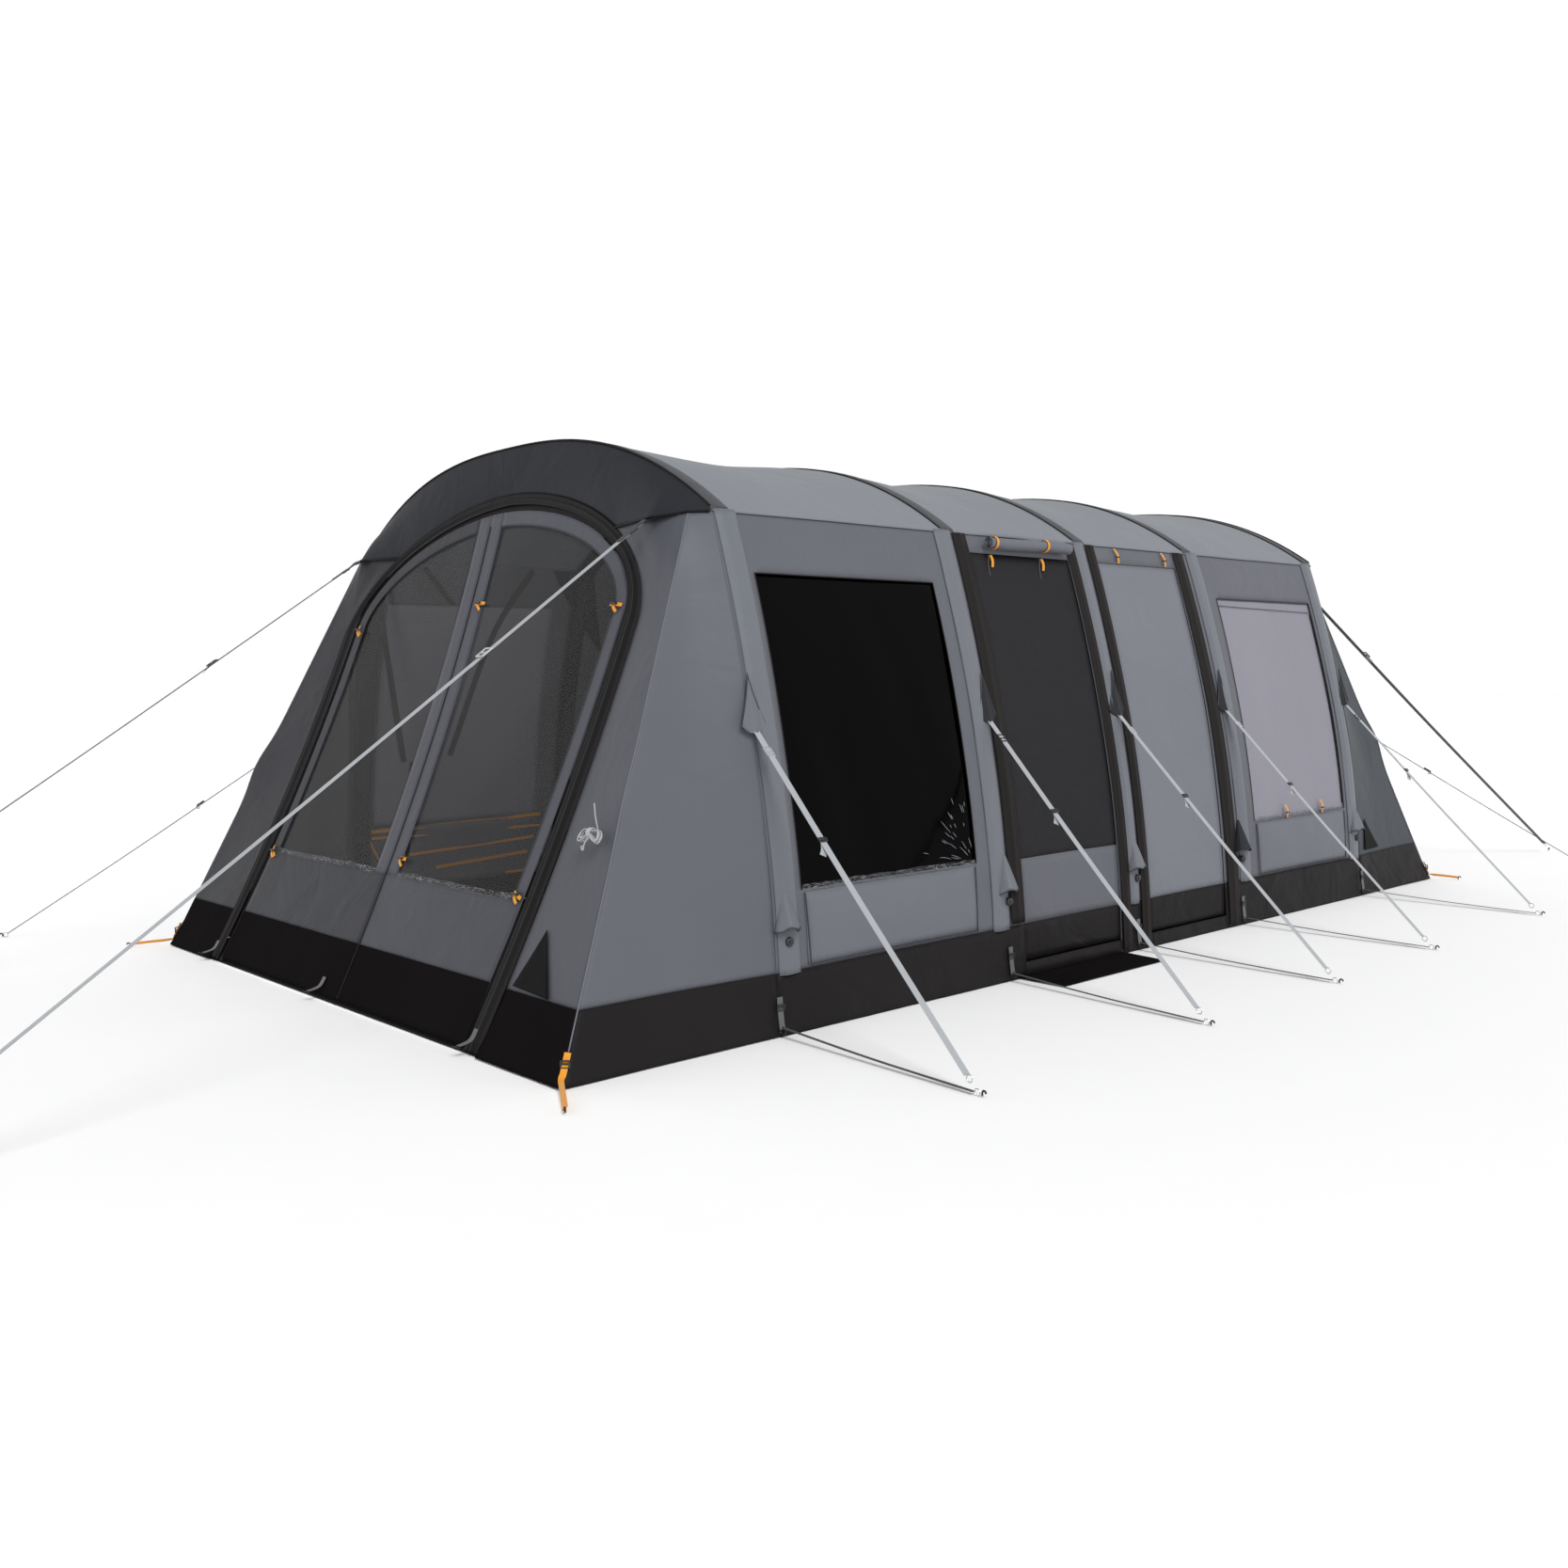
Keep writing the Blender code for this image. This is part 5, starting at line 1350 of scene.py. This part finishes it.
def makeValves():
    """Moulded valves with a cap on a tether, each under a cone of cloth that lifts from its top."""
    for i, y in enumerate(beamPlanes):
        low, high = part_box(f"inflation_valve_{i + 1}")
        middle = (np.array(low) + np.array(high)) / 2
        rings = [(-0.0135, 0.0165), (-0.008, 0.0165), (-0.0075, 0.0135), (0.0, 0.013), (0.0005, 0.016),
                 (0.0085, 0.0158), (0.0105, 0.014), (0.0106, 0.006), (0.0075, 0.0055)]
        path = np.array([middle + (step, 0, 0) for step, _ in rings])
        scale = np.array([radius for _, radius in rings])
        flatEnds = np.diff(path[:, 0], prepend=path[0, 0] - 0.001)
        path[:, 0] = path[0, 0] + np.cumsum(np.maximum(np.abs(flatEnds), 0.0004))
        turned = sweep(path, roundSection(1.0, 20), up=(0, 0, 1), scale=scale)
        addShapes(f"valve_{i + 1}_body", [turned], finish["valve"], "tent",
                  [f"inflation_valve_{i + 1}"])
        body = f"valve_cover_{i + 1}"
        share = np.linspace(0, 1, 16)[:, None]
        z = cover["top"] - cover["length"] * share
        radius = cover["topRadius"] + (cover["footRadius"] - cover["topRadius"]) * share
        turn = np.linspace(-math.pi / 2, math.pi / 2, 25)[None, :]
        base = np.maximum(float(wallX(cover["top"])) + 0.004, wallX(z) + 0.004)
        fold = 1 + 0.10 * np.cos(turn * 4 + i) * share
        points = np.stack([
            base + radius * 0.92 * np.cos(turn) * fold,
            y + radius * np.sin(turn),
            z + 0.018 * share * np.cos(turn) - 0.004 * share * np.sin(turn * 5 + i),
        ], axis=-1)
        look = "hood" if i == 3 else "sleeve"
        inside = np.array((float(wallX(cover["top"])), y, cover["top"] - cover["length"] / 2))
        sheetPanel(f"{body}_cloth", points, look, "hood_fabric", [f"right_sleeve_{i + 1}"], held="hung",
                   body=body, replaced=[body], awayFrom=inside)
        rim = sweep(points[-1], roundSection(0.0022, 6), up=(0, 0, 1))
        addShapes(f"{body}_hem", [rim], finish["thread"], body)
    print("valves and covers: 5")


flap = {"width": 0.052, "top": 1.19, "foot": 1.02, "tip": (1.482, 0.995)}


def makeGuyFlaps():
    """Gussets at the beams: a cone of cloth from the sleeve out to the storm strap's start."""
    for i in range(5):
        _, y, _ = routes[f"side_strap_{i + 1}"][0]
        across = np.linspace(-1, 1, 25)
        middle = (flap["top"] + flap["foot"]) / 2
        baseY = y + flap["width"] * np.sign(across) * np.abs(across) ** 1.3
        baseZ = flap["foot"] + (flap["top"] - flap["foot"]) * (1 - np.abs(across))
        base = np.stack([wallX(baseZ) + 0.017 - 0.008 * np.abs(across), baseY, baseZ], axis=-1)
        tip = np.array((flap["tip"][0], y, flap["tip"][1]))
        share = np.linspace(0, 0.97, 12)[:, None, None]
        points = base + (tip - base) * share
        points[..., 2] -= 0.01 * np.sin(math.pi * share[..., 0])
        look = finish["hood"] if i else finish["pocket"]
        inside = np.array((float(wallX(middle)), y, middle - 0.05))
        cloth = panel(f"guy_flap_{i + 1}", points, look, "hood_fabric", awayFrom=inside)
        # A cone's cut lies flat as a fan about its tip.
        spokes = points[0] - tip
        turn = np.arccos(np.clip((unit(spokes[1:]) * unit(spokes[:-1])).sum(-1), -1, 1))
        turn = np.concatenate([[0], np.cumsum(turn)])
        fan = np.linalg.norm(spokes, axis=-1) * np.stack([np.sin(turn - turn[12]), np.cos(turn - turn[12])])
        cloth["flatWidth"], cloth["flatLength"] = float(np.ptp(fan[0])), float(fan[1].max())
        rim = sweep(points[0], roundSection(0.0022, 6), up=(1, 0, 0))
        addShapes(f"guy_flap_{i + 1}_seam", [rim], finish["thread"])
    print("guy flaps: 5")


def tapePiece(name, points, width, look, body="tent", up=(0, 0, 1), thickness=0.0016):
    path = curveThrough(points, max(9, 4 * len(points)))
    return addShapes(name, [sweep(path, flatSection(width, thickness), up=up)], finish[look], body)


def makeToggles():
    """Orange toggles and their loops, which hold rolled doors and curtains."""
    face = {
        "front_toggle_strip": ("front_door_right", (0.02, 1.475), 0.0, 0.072),
        "front_toggle_strip_low": ("front_door_right", (0.135, 0.515), 0.0, 0.05),
        "front_toggle_right": ("front_door_right", (0.952, 1.43), 0.08, 0.074),
        "front_toggle_left": ("front_door_left", (-0.965, 1.40), 0.9, 0.05),
        "front_toggle_low_left": ("front_door_left", (-0.965, 0.455), 0.7, 0.06),
        "front_toggle_low_right": ("front_door_right", (0.965, 0.47), 0.3, 0.055),
    }
    for name, (body, (x, z), lean, length) in face.items():
        along = np.array((math.cos(lean), -math.sin(lean)))
        ends = [np.array((x, z)) - along * length / 2, np.array((x, z)),
                np.array((x, z)) + along * length / 2]
        path = [onFace(p[0], p[1], out) for p, out in zip(ends, (0.006, 0.013, 0.007))]
        tapePiece(f"{name}_loop", path, 0.013, "orange", body=body, up=(0, -1, 0.4))
        tapePiece(f"{name}_fold", [onFace(x - 0.012, z + 0.004, 0.012), onFace(x, z - 0.012, 0.015),
                                   onFace(x + 0.014, z - 0.026, 0.009)], 0.012, "orange", body=body,
                                   up=(0, -1, 0.4))
        rod = [onFace(x - 0.016, z, 0.018), onFace(x + 0.016, z, 0.018)]
        addRod(f"{name}_peg", rod, 0.0045, "buckle", sides=8, body=body)
    side = {
        "panel_toggle_front": ("tent", (0.256, 1.7), 0.008),
        "panel_toggle_rear": ("tent", (0.63, 1.7), 0.008),
        "curtain_toggle_front": ("tent", (1.33, 0.5), 0.01),
        "curtain_toggle_rear": ("tent", (1.68, 0.5), 0.01),
    }
    for name, (body, (y, z), out) in side.items():
        path = [onWall(1, y - 0.004, z + 0.03, out), onWall(1, y, z, out + 0.01),
                onWall(1, y + 0.006, z - 0.034, out)]
        tapePiece(f"{name}_loop", path, 0.012, "orange", body=body, up=(1, 0, 0))
        rod = [onWall(1, y - 0.014, z - 0.008, out + 0.008), onWall(1, y + 0.014, z - 0.008, out + 0.008)]
        addRod(f"{name}_peg", rod, 0.004, "buckle", sides=8, body=body)
    start = onFace(-0.965, 1.38, 0.012)
    hang = [start, start + (0.012, -0.005, -0.05), start + (0.004, -0.03, -0.1),
            start + (0.02, -0.03, -0.13)]
    line = sweep(curveThrough(hang, 15), roundSection(0.0014, 6), up=(0, 1, 0))
    addShapes("front_toggle_left_cord", [line], finish["loop"], "front_door_left")
    print("toggles:", len(face) + len(side))


def makeDoorRoll():
    """The side door's outer leaf, rolled up: one sheet wound in a spiral and drawn in by its two ties."""
    low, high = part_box("door_roll")
    centre, reach = (np.array(low) + np.array(high)) / 2, (high[1] - low[1]) / 2
    turns, rows = 4.3, 130
    wind = np.linspace(0, 1, rows)[:, None]
    radius = 0.0045 + 0.0225 * wind
    angle = wind * turns * 2 * math.pi - 1.2
    y = np.linspace(-reach, reach, 60)[None, :]
    ties = (-0.232, 0.1)
    tight = sum(np.exp(-((y - tie) / 0.035) ** 2) for tie in ties)
    pinch = 1 - 0.16 * tight
    wave = 1 + 0.05 * ripple(y * 7, angle * 0.2, 121) * wind
    size = radius * pinch * wave
    points = np.stack([
        centre[0] + size * np.cos(angle) + 0 * y,
        centre[1] + y + 0 * angle,
        centre[2] + size * np.sin(angle) * 1.0 + 0.003 * np.sin(y * 11),
    ], axis=-1)
    roll = panel("door_roll_cloth", points, finish["pocket"], "wall_fabric", replaced=["door_roll"],
                 awayFrom=centre,
                 thickness=0.001)
    for k, tie in enumerate(ties):
        turn = np.linspace(0, 2 * math.pi, 25)
        ring = centre + np.stack([0.0262 * np.cos(turn), np.full(25, tie), 0.0262 * np.sin(turn)], axis=-1)
        ring[:, 2] += 0.003 * math.sin(tie * 11)
        band = sweep(ring,
                     np.array([(-0.0008, -0.006), (0.0008, -0.006), (0.0008, 0.006), (-0.0008, 0.006)]),
                     up=(0, 1, 0))
        addShapes(f"door_roll_tie_{k + 1}", [band], finish["orange"])
        # The toggle and its cord hang at the door's own hinge line, so the opening door carries them.
        x, y, z = float(wallX(1.66)) + 0.012, centre[1] + tie, 1.656
        hang = [(x, y, z), (x + 0.008, y + 0.003, z - 0.022), (x + 0.006, y + 0.006, z - 0.048)]
        tapePiece(f"door_roll_toggle_{k + 1}", hang, 0.015, "orange", body="side_door", up=(1, 0, 0))
        cordPath = [(x, y - 0.012, z), (x + 0.006, y - 0.02, z - 0.045), (x + 0.008, y - 0.01, z - 0.085)]
        line = sweep(curveThrough(cordPath, 9), roundSection(0.0016, 6), up=(1, 0, 0))
        addShapes(f"door_roll_cord_{k + 1}", [line], finish["loop"], "side_door")
    print("door roll: spiral of", turns, "turns")


def makeGroundPieces():
    """Groundsheet, step mat with its gussets, hem loops and the orange corner straps."""
    low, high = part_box("groundsheet")
    xs, ys = np.linspace(low[0], high[0], 40), np.linspace(low[1], high[1], 70)
    top = 0.0028 + 0.0004 * ripple(xs[None, :] * 2, ys[:, None] * 2, 131)
    points = np.stack(np.broadcast_arrays(xs[None, :], ys[:, None], top), axis=-1)
    sheetPanel("groundsheet_cloth", points, "floor", "groundsheet", [], held="laid",
               replaced=["groundsheet"], facing=(0, 0, 1))
    low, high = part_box("step_mat")
    xs, ys = np.linspace(low[0], high[0], 16), np.linspace(low[1], high[1], 40)
    across = (xs - low[0]) / (high[0] - low[0])
    edge = np.abs((ys - low[1]) / (high[1] - low[1]) * 2 - 1)
    gusset = 0.006 * (edge[:, None] ** 10) * (1 - across[None, :])
    top = 0.0038 + gusset + 0.0015 * (1 + ripple(xs * 9, ys[:, None] * 4, 132))
    points = np.stack(np.broadcast_arrays(xs[None, :], ys[:, None], top), axis=-1)
    sheetPanel("step_mat_cloth", points, "skirt", "groundsheet", ["side_door_sill"], held="laid",
               body="step_mat", replaced=["step_mat"], facing=(0, 0, 1))
    x = 1.572
    for i, y in enumerate((-2.062, -0.862, 0.0, 0.862, 2.062)):
        name = f"hem_loop_{i + 1}"
        path = [(wallX(0.135) + 0.014, y, 0.135), (wallX(0.09) + 0.016, y, 0.09), (x + 0.014, y, 0.045),
                (x + 0.018, y, 0.03)]
        tapePiece(f"{name}_tape", path, 0.024, "loop", up=(1, 0, 0.2))
        ring = ringShape((x + 0.018, y, 0.024), 0.013, 0.0022, (0, 1, 0.0))
        slide = ladderLock((wallX(0.1) + 0.0185, y, 0.1), (0.1, 0, 1), (1, 0, 0), (0.03, 0.02, 0.005))
        addShapes(f"{name}_ring", [ring] + slide, finish["buckle"])
    front = {"front_hem_loop_1": -1.09, "front_hem_loop_2": -0.05, "front_hem_loop_3": 1.05}
    for name, x in front.items():
        place = "tent" if abs(x) > 1.0 else "front_door_left"
        path = [onFace(x, 0.075, 0.012), onFace(x, 0.045, 0.015), onFace(x, 0.028, 0.03),
                onFace(x, 0.014, 0.05)]
        tapePiece(f"{name}_tape", path, 0.024, "loop", body=place, up=(0, -1, 0.4))
        addShapes(f"{name}_ring", [ringShape(path[-1] + (0, -0.008, -0.002), 0.011, 0.002, (0, 0.35, 1))],
                  finish["peg"], place)
    corners = {
        "corner_strap_front_right": (1, -1, (1.762, -3.022)),
        "corner_strap_front_left": (-1, -1, (-1.66, -3.06)),
        "corner_strap_rear_right": (1, 1, (1.70, 2.98)),
        "corner_strap_rear_left": (-1, 1, (-1.70, 3.02)),
    }
    for name, (side, end, (x, y)) in corners.items():
        crease = lambda z: (cornerFoot + (creaseTop - cornerFoot) * z / creaseTop[2]) * (side, end, 1)
        out = unit(np.array((side, end, 0.0))) * 0.012
        start = [crease(0.1) + out, crease(0.07) + out, crease(0.045) + out]
        goal = np.array((x, y, 0.014))
        knee = crease(0.028) + out * 1.6
        path = start + [knee, knee + (goal - knee) * 0.5, goal]
        tapePiece(f"{name}_tape", path, 0.02, "orange", up=(side, end, 0.3))
        lock = ladderLock(crease(0.07) + out * 1.35, (0, 0, 1), (side, end, 0), (0.026, 0.022, 0.005))
        addShapes(f"{name}_buckle", lock, finish["buckle"])
        pull = np.array((side, end)) * -1.0
        peg = pegShape((x, y), pull)
        addShapes(f"{name}_peg", [peg], finish["peg"])
    print("floor, mat, loops and corner straps")


bedroom = {"front": 0.78, "back": 2.78, "lean": 0.42, "lift": 0.006, "halfWidth": 1.36,
           "shoulder": (1.06, 1.6), "hip": (0.6, 1.82), "ridge": 1.88, "door": (0.45, 0.1, 1.5)}


def makeBedroom():
    """The inner tent: roof and sides in one cloth, a sewn floor, two end walls, and an open doorway."""
    profile = np.array([(bedroom["halfWidth"], bedroom["lift"]), bedroom["shoulder"], bedroom["hip"],
                        (0, bedroom["ridge"])])
    sides = zip(profile[:-1], profile[1:], (26, 9, 9))
    half = np.vstack([np.linspace(a, b, n)[:-1] for a, b, n in sides] + [profile[-1:]])
    outline = np.vstack([half, half[-2::-1] * (-1, 1)])
    share = np.linspace(0, 1, 34)[:, None]
    x, z = outline[None, :, 0], outline[None, :, 1]
    back = bedroom["back"] - bedroom["lean"] * z
    y = bedroom["front"] + (back - bedroom["front"]) * share
    soft = np.sin(math.pi * share) * np.sin(math.pi * np.linspace(0, 1, len(outline)))[None, :]
    droop = 0.02 * soft
    points = np.stack([x * (1 - droop), y, z - droop * 0.6 + 0.006], axis=-1)
    sheetPanel("bedroom_cloth", points, "inner", "inner_fabric", ["roof_cloth_4"], held="hung",
               replaced=["inner_tent"], awayFrom=np.array((0, 1.7, 0.8)))
    rows = np.linspace(0, 1, 30)[:, None]
    across = np.linspace(-1, 1, 41)[None, :]
    top = np.interp(np.abs(across[0]) * bedroom["halfWidth"], profile[::-1, 0], profile[::-1, 1])
    z = bedroom["lift"] + 0.006 + (top[None, :] - bedroom["lift"] - 0.012) * rows
    x = across * bedroom["halfWidth"] * 0.995
    width = np.interp(z, profile[:, 1], profile[:, 0])
    keepIn = np.minimum(np.abs(x), width) * np.sign(x)
    backWall = np.stack(np.broadcast_arrays(keepIn, bedroom["back"] - bedroom["lean"] * z - 0.003, z),
                        axis=-1)
    sheetPanel("bedroom_back", backWall, "inner", "inner_fabric", ["bedroom_cloth"], held="hung",
               facing=(0, 1, 0.2))
    doorHalf, _, doorHigh = bedroom["door"]
    # The front wall stands in three parts round the doorway.
    for side, name in ((1, "right"), (-1, "left")):
        s = np.linspace(0, 1, 20)[None, :]
        high = np.interp(doorHalf + (bedroom["halfWidth"] - doorHalf) * s[0], profile[::-1, 0],
                         profile[::-1, 1])
        z = bedroom["lift"] + 0.006 + (high[None, :] - bedroom["lift"] - 0.012) * rows
        edge = np.interp(z, profile[:, 1], profile[:, 0]) - 0.004
        x = np.minimum(doorHalf + (bedroom["halfWidth"] - doorHalf) * s, edge)
        y = bedroom["front"] + 0.003 + 0.004 * ripple(x * 3, z, 141)
        wall = np.stack(np.broadcast_arrays(side * x, y, z), axis=-1)
        sheetPanel(f"bedroom_front_{name}", wall, "inner", "inner_fabric", ["bedroom_cloth"], held="hung",
                   facing=(0, -1, 0))
    x = np.linspace(-doorHalf, doorHalf, 24)[None, :]
    high = np.interp(np.abs(x[0]), profile[::-1, 0], profile[::-1, 1])
    z = doorHigh + (high[None, :] - doorHigh - 0.006) * np.linspace(0, 1, 8)[:, None]
    wall = np.stack(np.broadcast_arrays(x, bedroom["front"] + 0.003, z), axis=-1)
    sheetPanel("bedroom_front_top", wall, "inner", "inner_fabric", ["bedroom_cloth"], held="hung",
               facing=(0, -1, 0))
    xs = np.linspace(-1, 1, 30) * (bedroom["halfWidth"] - 0.006)
    ys = np.linspace(bedroom["front"] + 0.01, bedroom["back"] - 0.01, 30)
    points = np.stack(np.broadcast_arrays(xs[None, :], ys[:, None], bedroom["lift"] + 0.004), axis=-1)
    sheetPanel("bedroom_floor", points, "floor", "inner_fabric", ["groundsheet_cloth"], held="laid",
               facing=(0, 0, 1))
    print("bedroom: 6 panels")


def insideLine(name, stops, width, look):
    """Tape on the inside of the left wall, through stops (y, z)."""
    path = [onWall(-1, y, z, -0.012) for y, z in stops]
    return tapePiece(name, path, width, look, up=(1, 0, 0))


def makeInside():
    """What hangs inside the front room on the left wall: an organiser's tapes and two dark straps."""
    tapes = {
        "organiser_tape_1": ([(-1.949, 0.436), (-0.978, 0.457)], 0.016, "orange"),
        "organiser_tape_2": ([(-1.948, 0.403), (-0.976, 0.396)], 0.012, "orange"),
        "organiser_tape_3": ([(-1.973, 0.424), (-1.908, 0.291)], 0.012, "orange"),
        "organiser_tape_4": ([(-1.786, 0.303), (-1.016, 0.337)], 0.014, "orange"),
        "organiser_tape_5": ([(-1.598, 0.226), (-1.056, 0.259)], 0.016, "orange"),
        "organiser_tape_6": ([(-1.189, 0.16), (-1.068, 0.158)], 0.014, "orange"),
        "inside_strap_1": ([(-1.984, 1.56), (-1.881, 1.178), (-1.789, 0.777)], 0.03, "blackWeb"),
        "inside_strap_2": ([(-1.16, 1.73), (-1.352, 1.396), (-1.54, 0.799)], 0.03, "blackWeb"),
        "inside_strap_3": ([(-1.764, 1.72), (-1.585, 1.549)], 0.02, "blackWeb"),
        "inside_seam_1": ([(-1.748, 0.776), (-1.755, 0.3)], 0.02, "blackWeb"),
        "inside_seam_2": ([(-2.111, 1.374), (-2.024, 0.558)], 0.02, "blackWeb"),
    }
    for name, (stops, width, look) in tapes.items():
        insideLine(name, stops, width, look)
    ys, zs = np.linspace(0, 1, 14)[None, :], np.linspace(0, 1, 12)[:, None]
    points = onWall(-1, -1.96 + 0.99 * ys, 0.14 + 0.31 * zs, -0.008)
    sheetPanel("organiser_cloth", points, "pocket", "wall_fabric", ["left_wall_cloth"], held="hung",
               facing=(1, 0, 0))
    corners = np.array([(-1.04, 1.735), (-0.79, 1.735), (-0.66, 1.303), (-0.918, 1.58)])
    top = corners[0] + (corners[1] - corners[0]) * ys[0][:, None]
    foot = corners[3] + (corners[2] - corners[3]) * ys[0][:, None]
    grid = foot[None] + (top - foot)[None] * zs[:, :, None]
    sheetPanel("inside_patch", onWall(-1, grid[..., 0], grid[..., 1], -0.01), "hood", "wall_fabric",
               ["left_wall_cloth"], facing=(1, 0, 0))
    print("inside fittings")


def triangleGrid(left, right, apex):
    """Rows of points from a triangle's foot almost to its apex."""
    left, right, apex = np.array(left), np.array(right), np.array(apex)
    rows = np.linspace(0, 1, 16)[:, None]
    a = left + (apex - left) * rows * 0.999
    b = right + (apex - right) * rows * 0.999
    return a[:, None] + (b - a)[:, None] * np.linspace(0, 1, 10)[None, :, None]


def makePatches():
    """Plain dark triangles at two corners, where a maker would sew a label."""
    for name, flip in (("front_patch_right", (1, -1, 1)), ("rear_patch_left", (-1, 1, 1))):
        grid = triangleGrid((1.135, 0.222), (1.36, 0.212), (1.21, 0.40))
        # The patch lies on the corner's front part: its depth follows the cloth there.
        share = grid[..., 1] / creaseTop[2]
        band = doorEdge(share, bandArch)
        crease = cornerFoot + (creaseTop - cornerFoot) * share[..., None]
        across = (grid[..., 0] - band[..., 0]) / (crease[..., 0] - band[..., 0])
        points = band + (crease - band) * across[..., None]
        points = points + unit(np.array((0.1, 1.0, 0.4))) * 0.006
        sheetPanel(name, points * flip, "patch", "wall_fabric", [name.replace("patch", "corner") + "_face"],
                   facing=np.array((0, 1, 0.4)) * flip)
    grid = triangleGrid((2.13, 0.235), (2.33, 0.235), (2.16, 0.40))
    share = grid[..., 1] / creaseTop[2]
    crease = cornerFoot + (creaseTop - cornerFoot) * share[..., None]
    legX = wallX(grid[..., 1])
    across = (crease[..., 1] - grid[..., 0]) / (crease[..., 1] - tent["endSeam"])
    x = crease[..., 0] + (legX - crease[..., 0]) * across
    hollow = 0.022 * np.sin(math.pi * across) ** 1.2 * np.sin(math.pi * share)
    points = np.stack([x - hollow + 0.006, grid[..., 0], grid[..., 1]], axis=-1)
    sheetPanel("rear_patch_right", points, "patch", "wall_fabric", ["rear_corner_right_side"],
               facing=(1, 0, 0))
    print("patches: 3")


makeBeams()
makeValves()
makeGuyFlaps()
makeToggles()
makeDoorRoll()
makeGroundPieces()
makeBedroom()
makeInside()
makePatches()


# Floor, light and backdrop.
def makeStage():
    size = 60.0
    grid = np.array([[(-size, -size, 0), (size, -size, 0)], [(-size, size, 0), (size, size, 0)]], float)
    index = np.array([[0, 1, 3, 2]])
    paper = solidFinish("paperBackdrop", "#FAFAFA", "#F8F8F8", 0.9, grainMm=40.0, grain=0.0)
    floor = addMesh("studio_floor", grid.reshape(-1, 3), index, grid.reshape(-1, 3)[:, :2], paper)
    floor.location.z = -0.0005
    world = bpy.data.worlds.new("studio")
    bpy.context.scene.world = world
    world.use_nodes = True
    # A bright horizon all round under a dimmer ceiling, so that roofs and walls differ in tone.
    tree = world.node_tree
    place = tree.nodes.new("ShaderNodeTexCoord")
    split = tree.nodes.new("ShaderNodeSeparateXYZ")
    ramp = tree.nodes.new("ShaderNodeMapRange")
    for name, value in {"From Min": 0.46, "From Max": 0.7, "To Min": 1.0, "To Max": 0.5}.items():
        ramp.inputs[name].default_value = value
    tree.links.new(place.outputs["Generated"], split.inputs["Vector"])
    tree.links.new(split.outputs["Z"], ramp.inputs["Value"])
    tree.links.new(ramp.outputs["Result"], tree.nodes["Background"].inputs["Strength"])
    tree.nodes["Background"].inputs["Color"].default_value = (1, 1, 1, 1)
    lamp = bpy.data.lights.new("key", "SUN")
    lamp.energy = 1.9
    lamp.angle = math.radians(24)
    key = bpy.data.objects.new("key", lamp)
    key.rotation_euler = Vector((-0.75, 0.28, -0.85)).to_track_quat("-Z", "Y").to_euler()
    bpy.context.scene.collection.objects.link(key)
    # Daylight that comes through the cloth, as a soft lamp under the front room's roof.
    glow = bpy.data.lights.new("daylight_inside", "AREA")
    glow.shape = "RECTANGLE"
    glow.size, glow.size_y = 1.2, 0.8
    glow.energy = 22
    inside = bpy.data.objects.new("daylight_inside", glow)
    inside.location = (0.42, -1.35, 1.5)
    inside.rotation_euler = Vector((-0.75, 0.0, -0.5)).to_track_quat("-Z", "Y").to_euler()
    bpy.context.scene.collection.objects.link(inside)
    bpy.context.scene.view_settings.view_transform = "Standard"


makeStage()
bpy.context.view_layer.update()
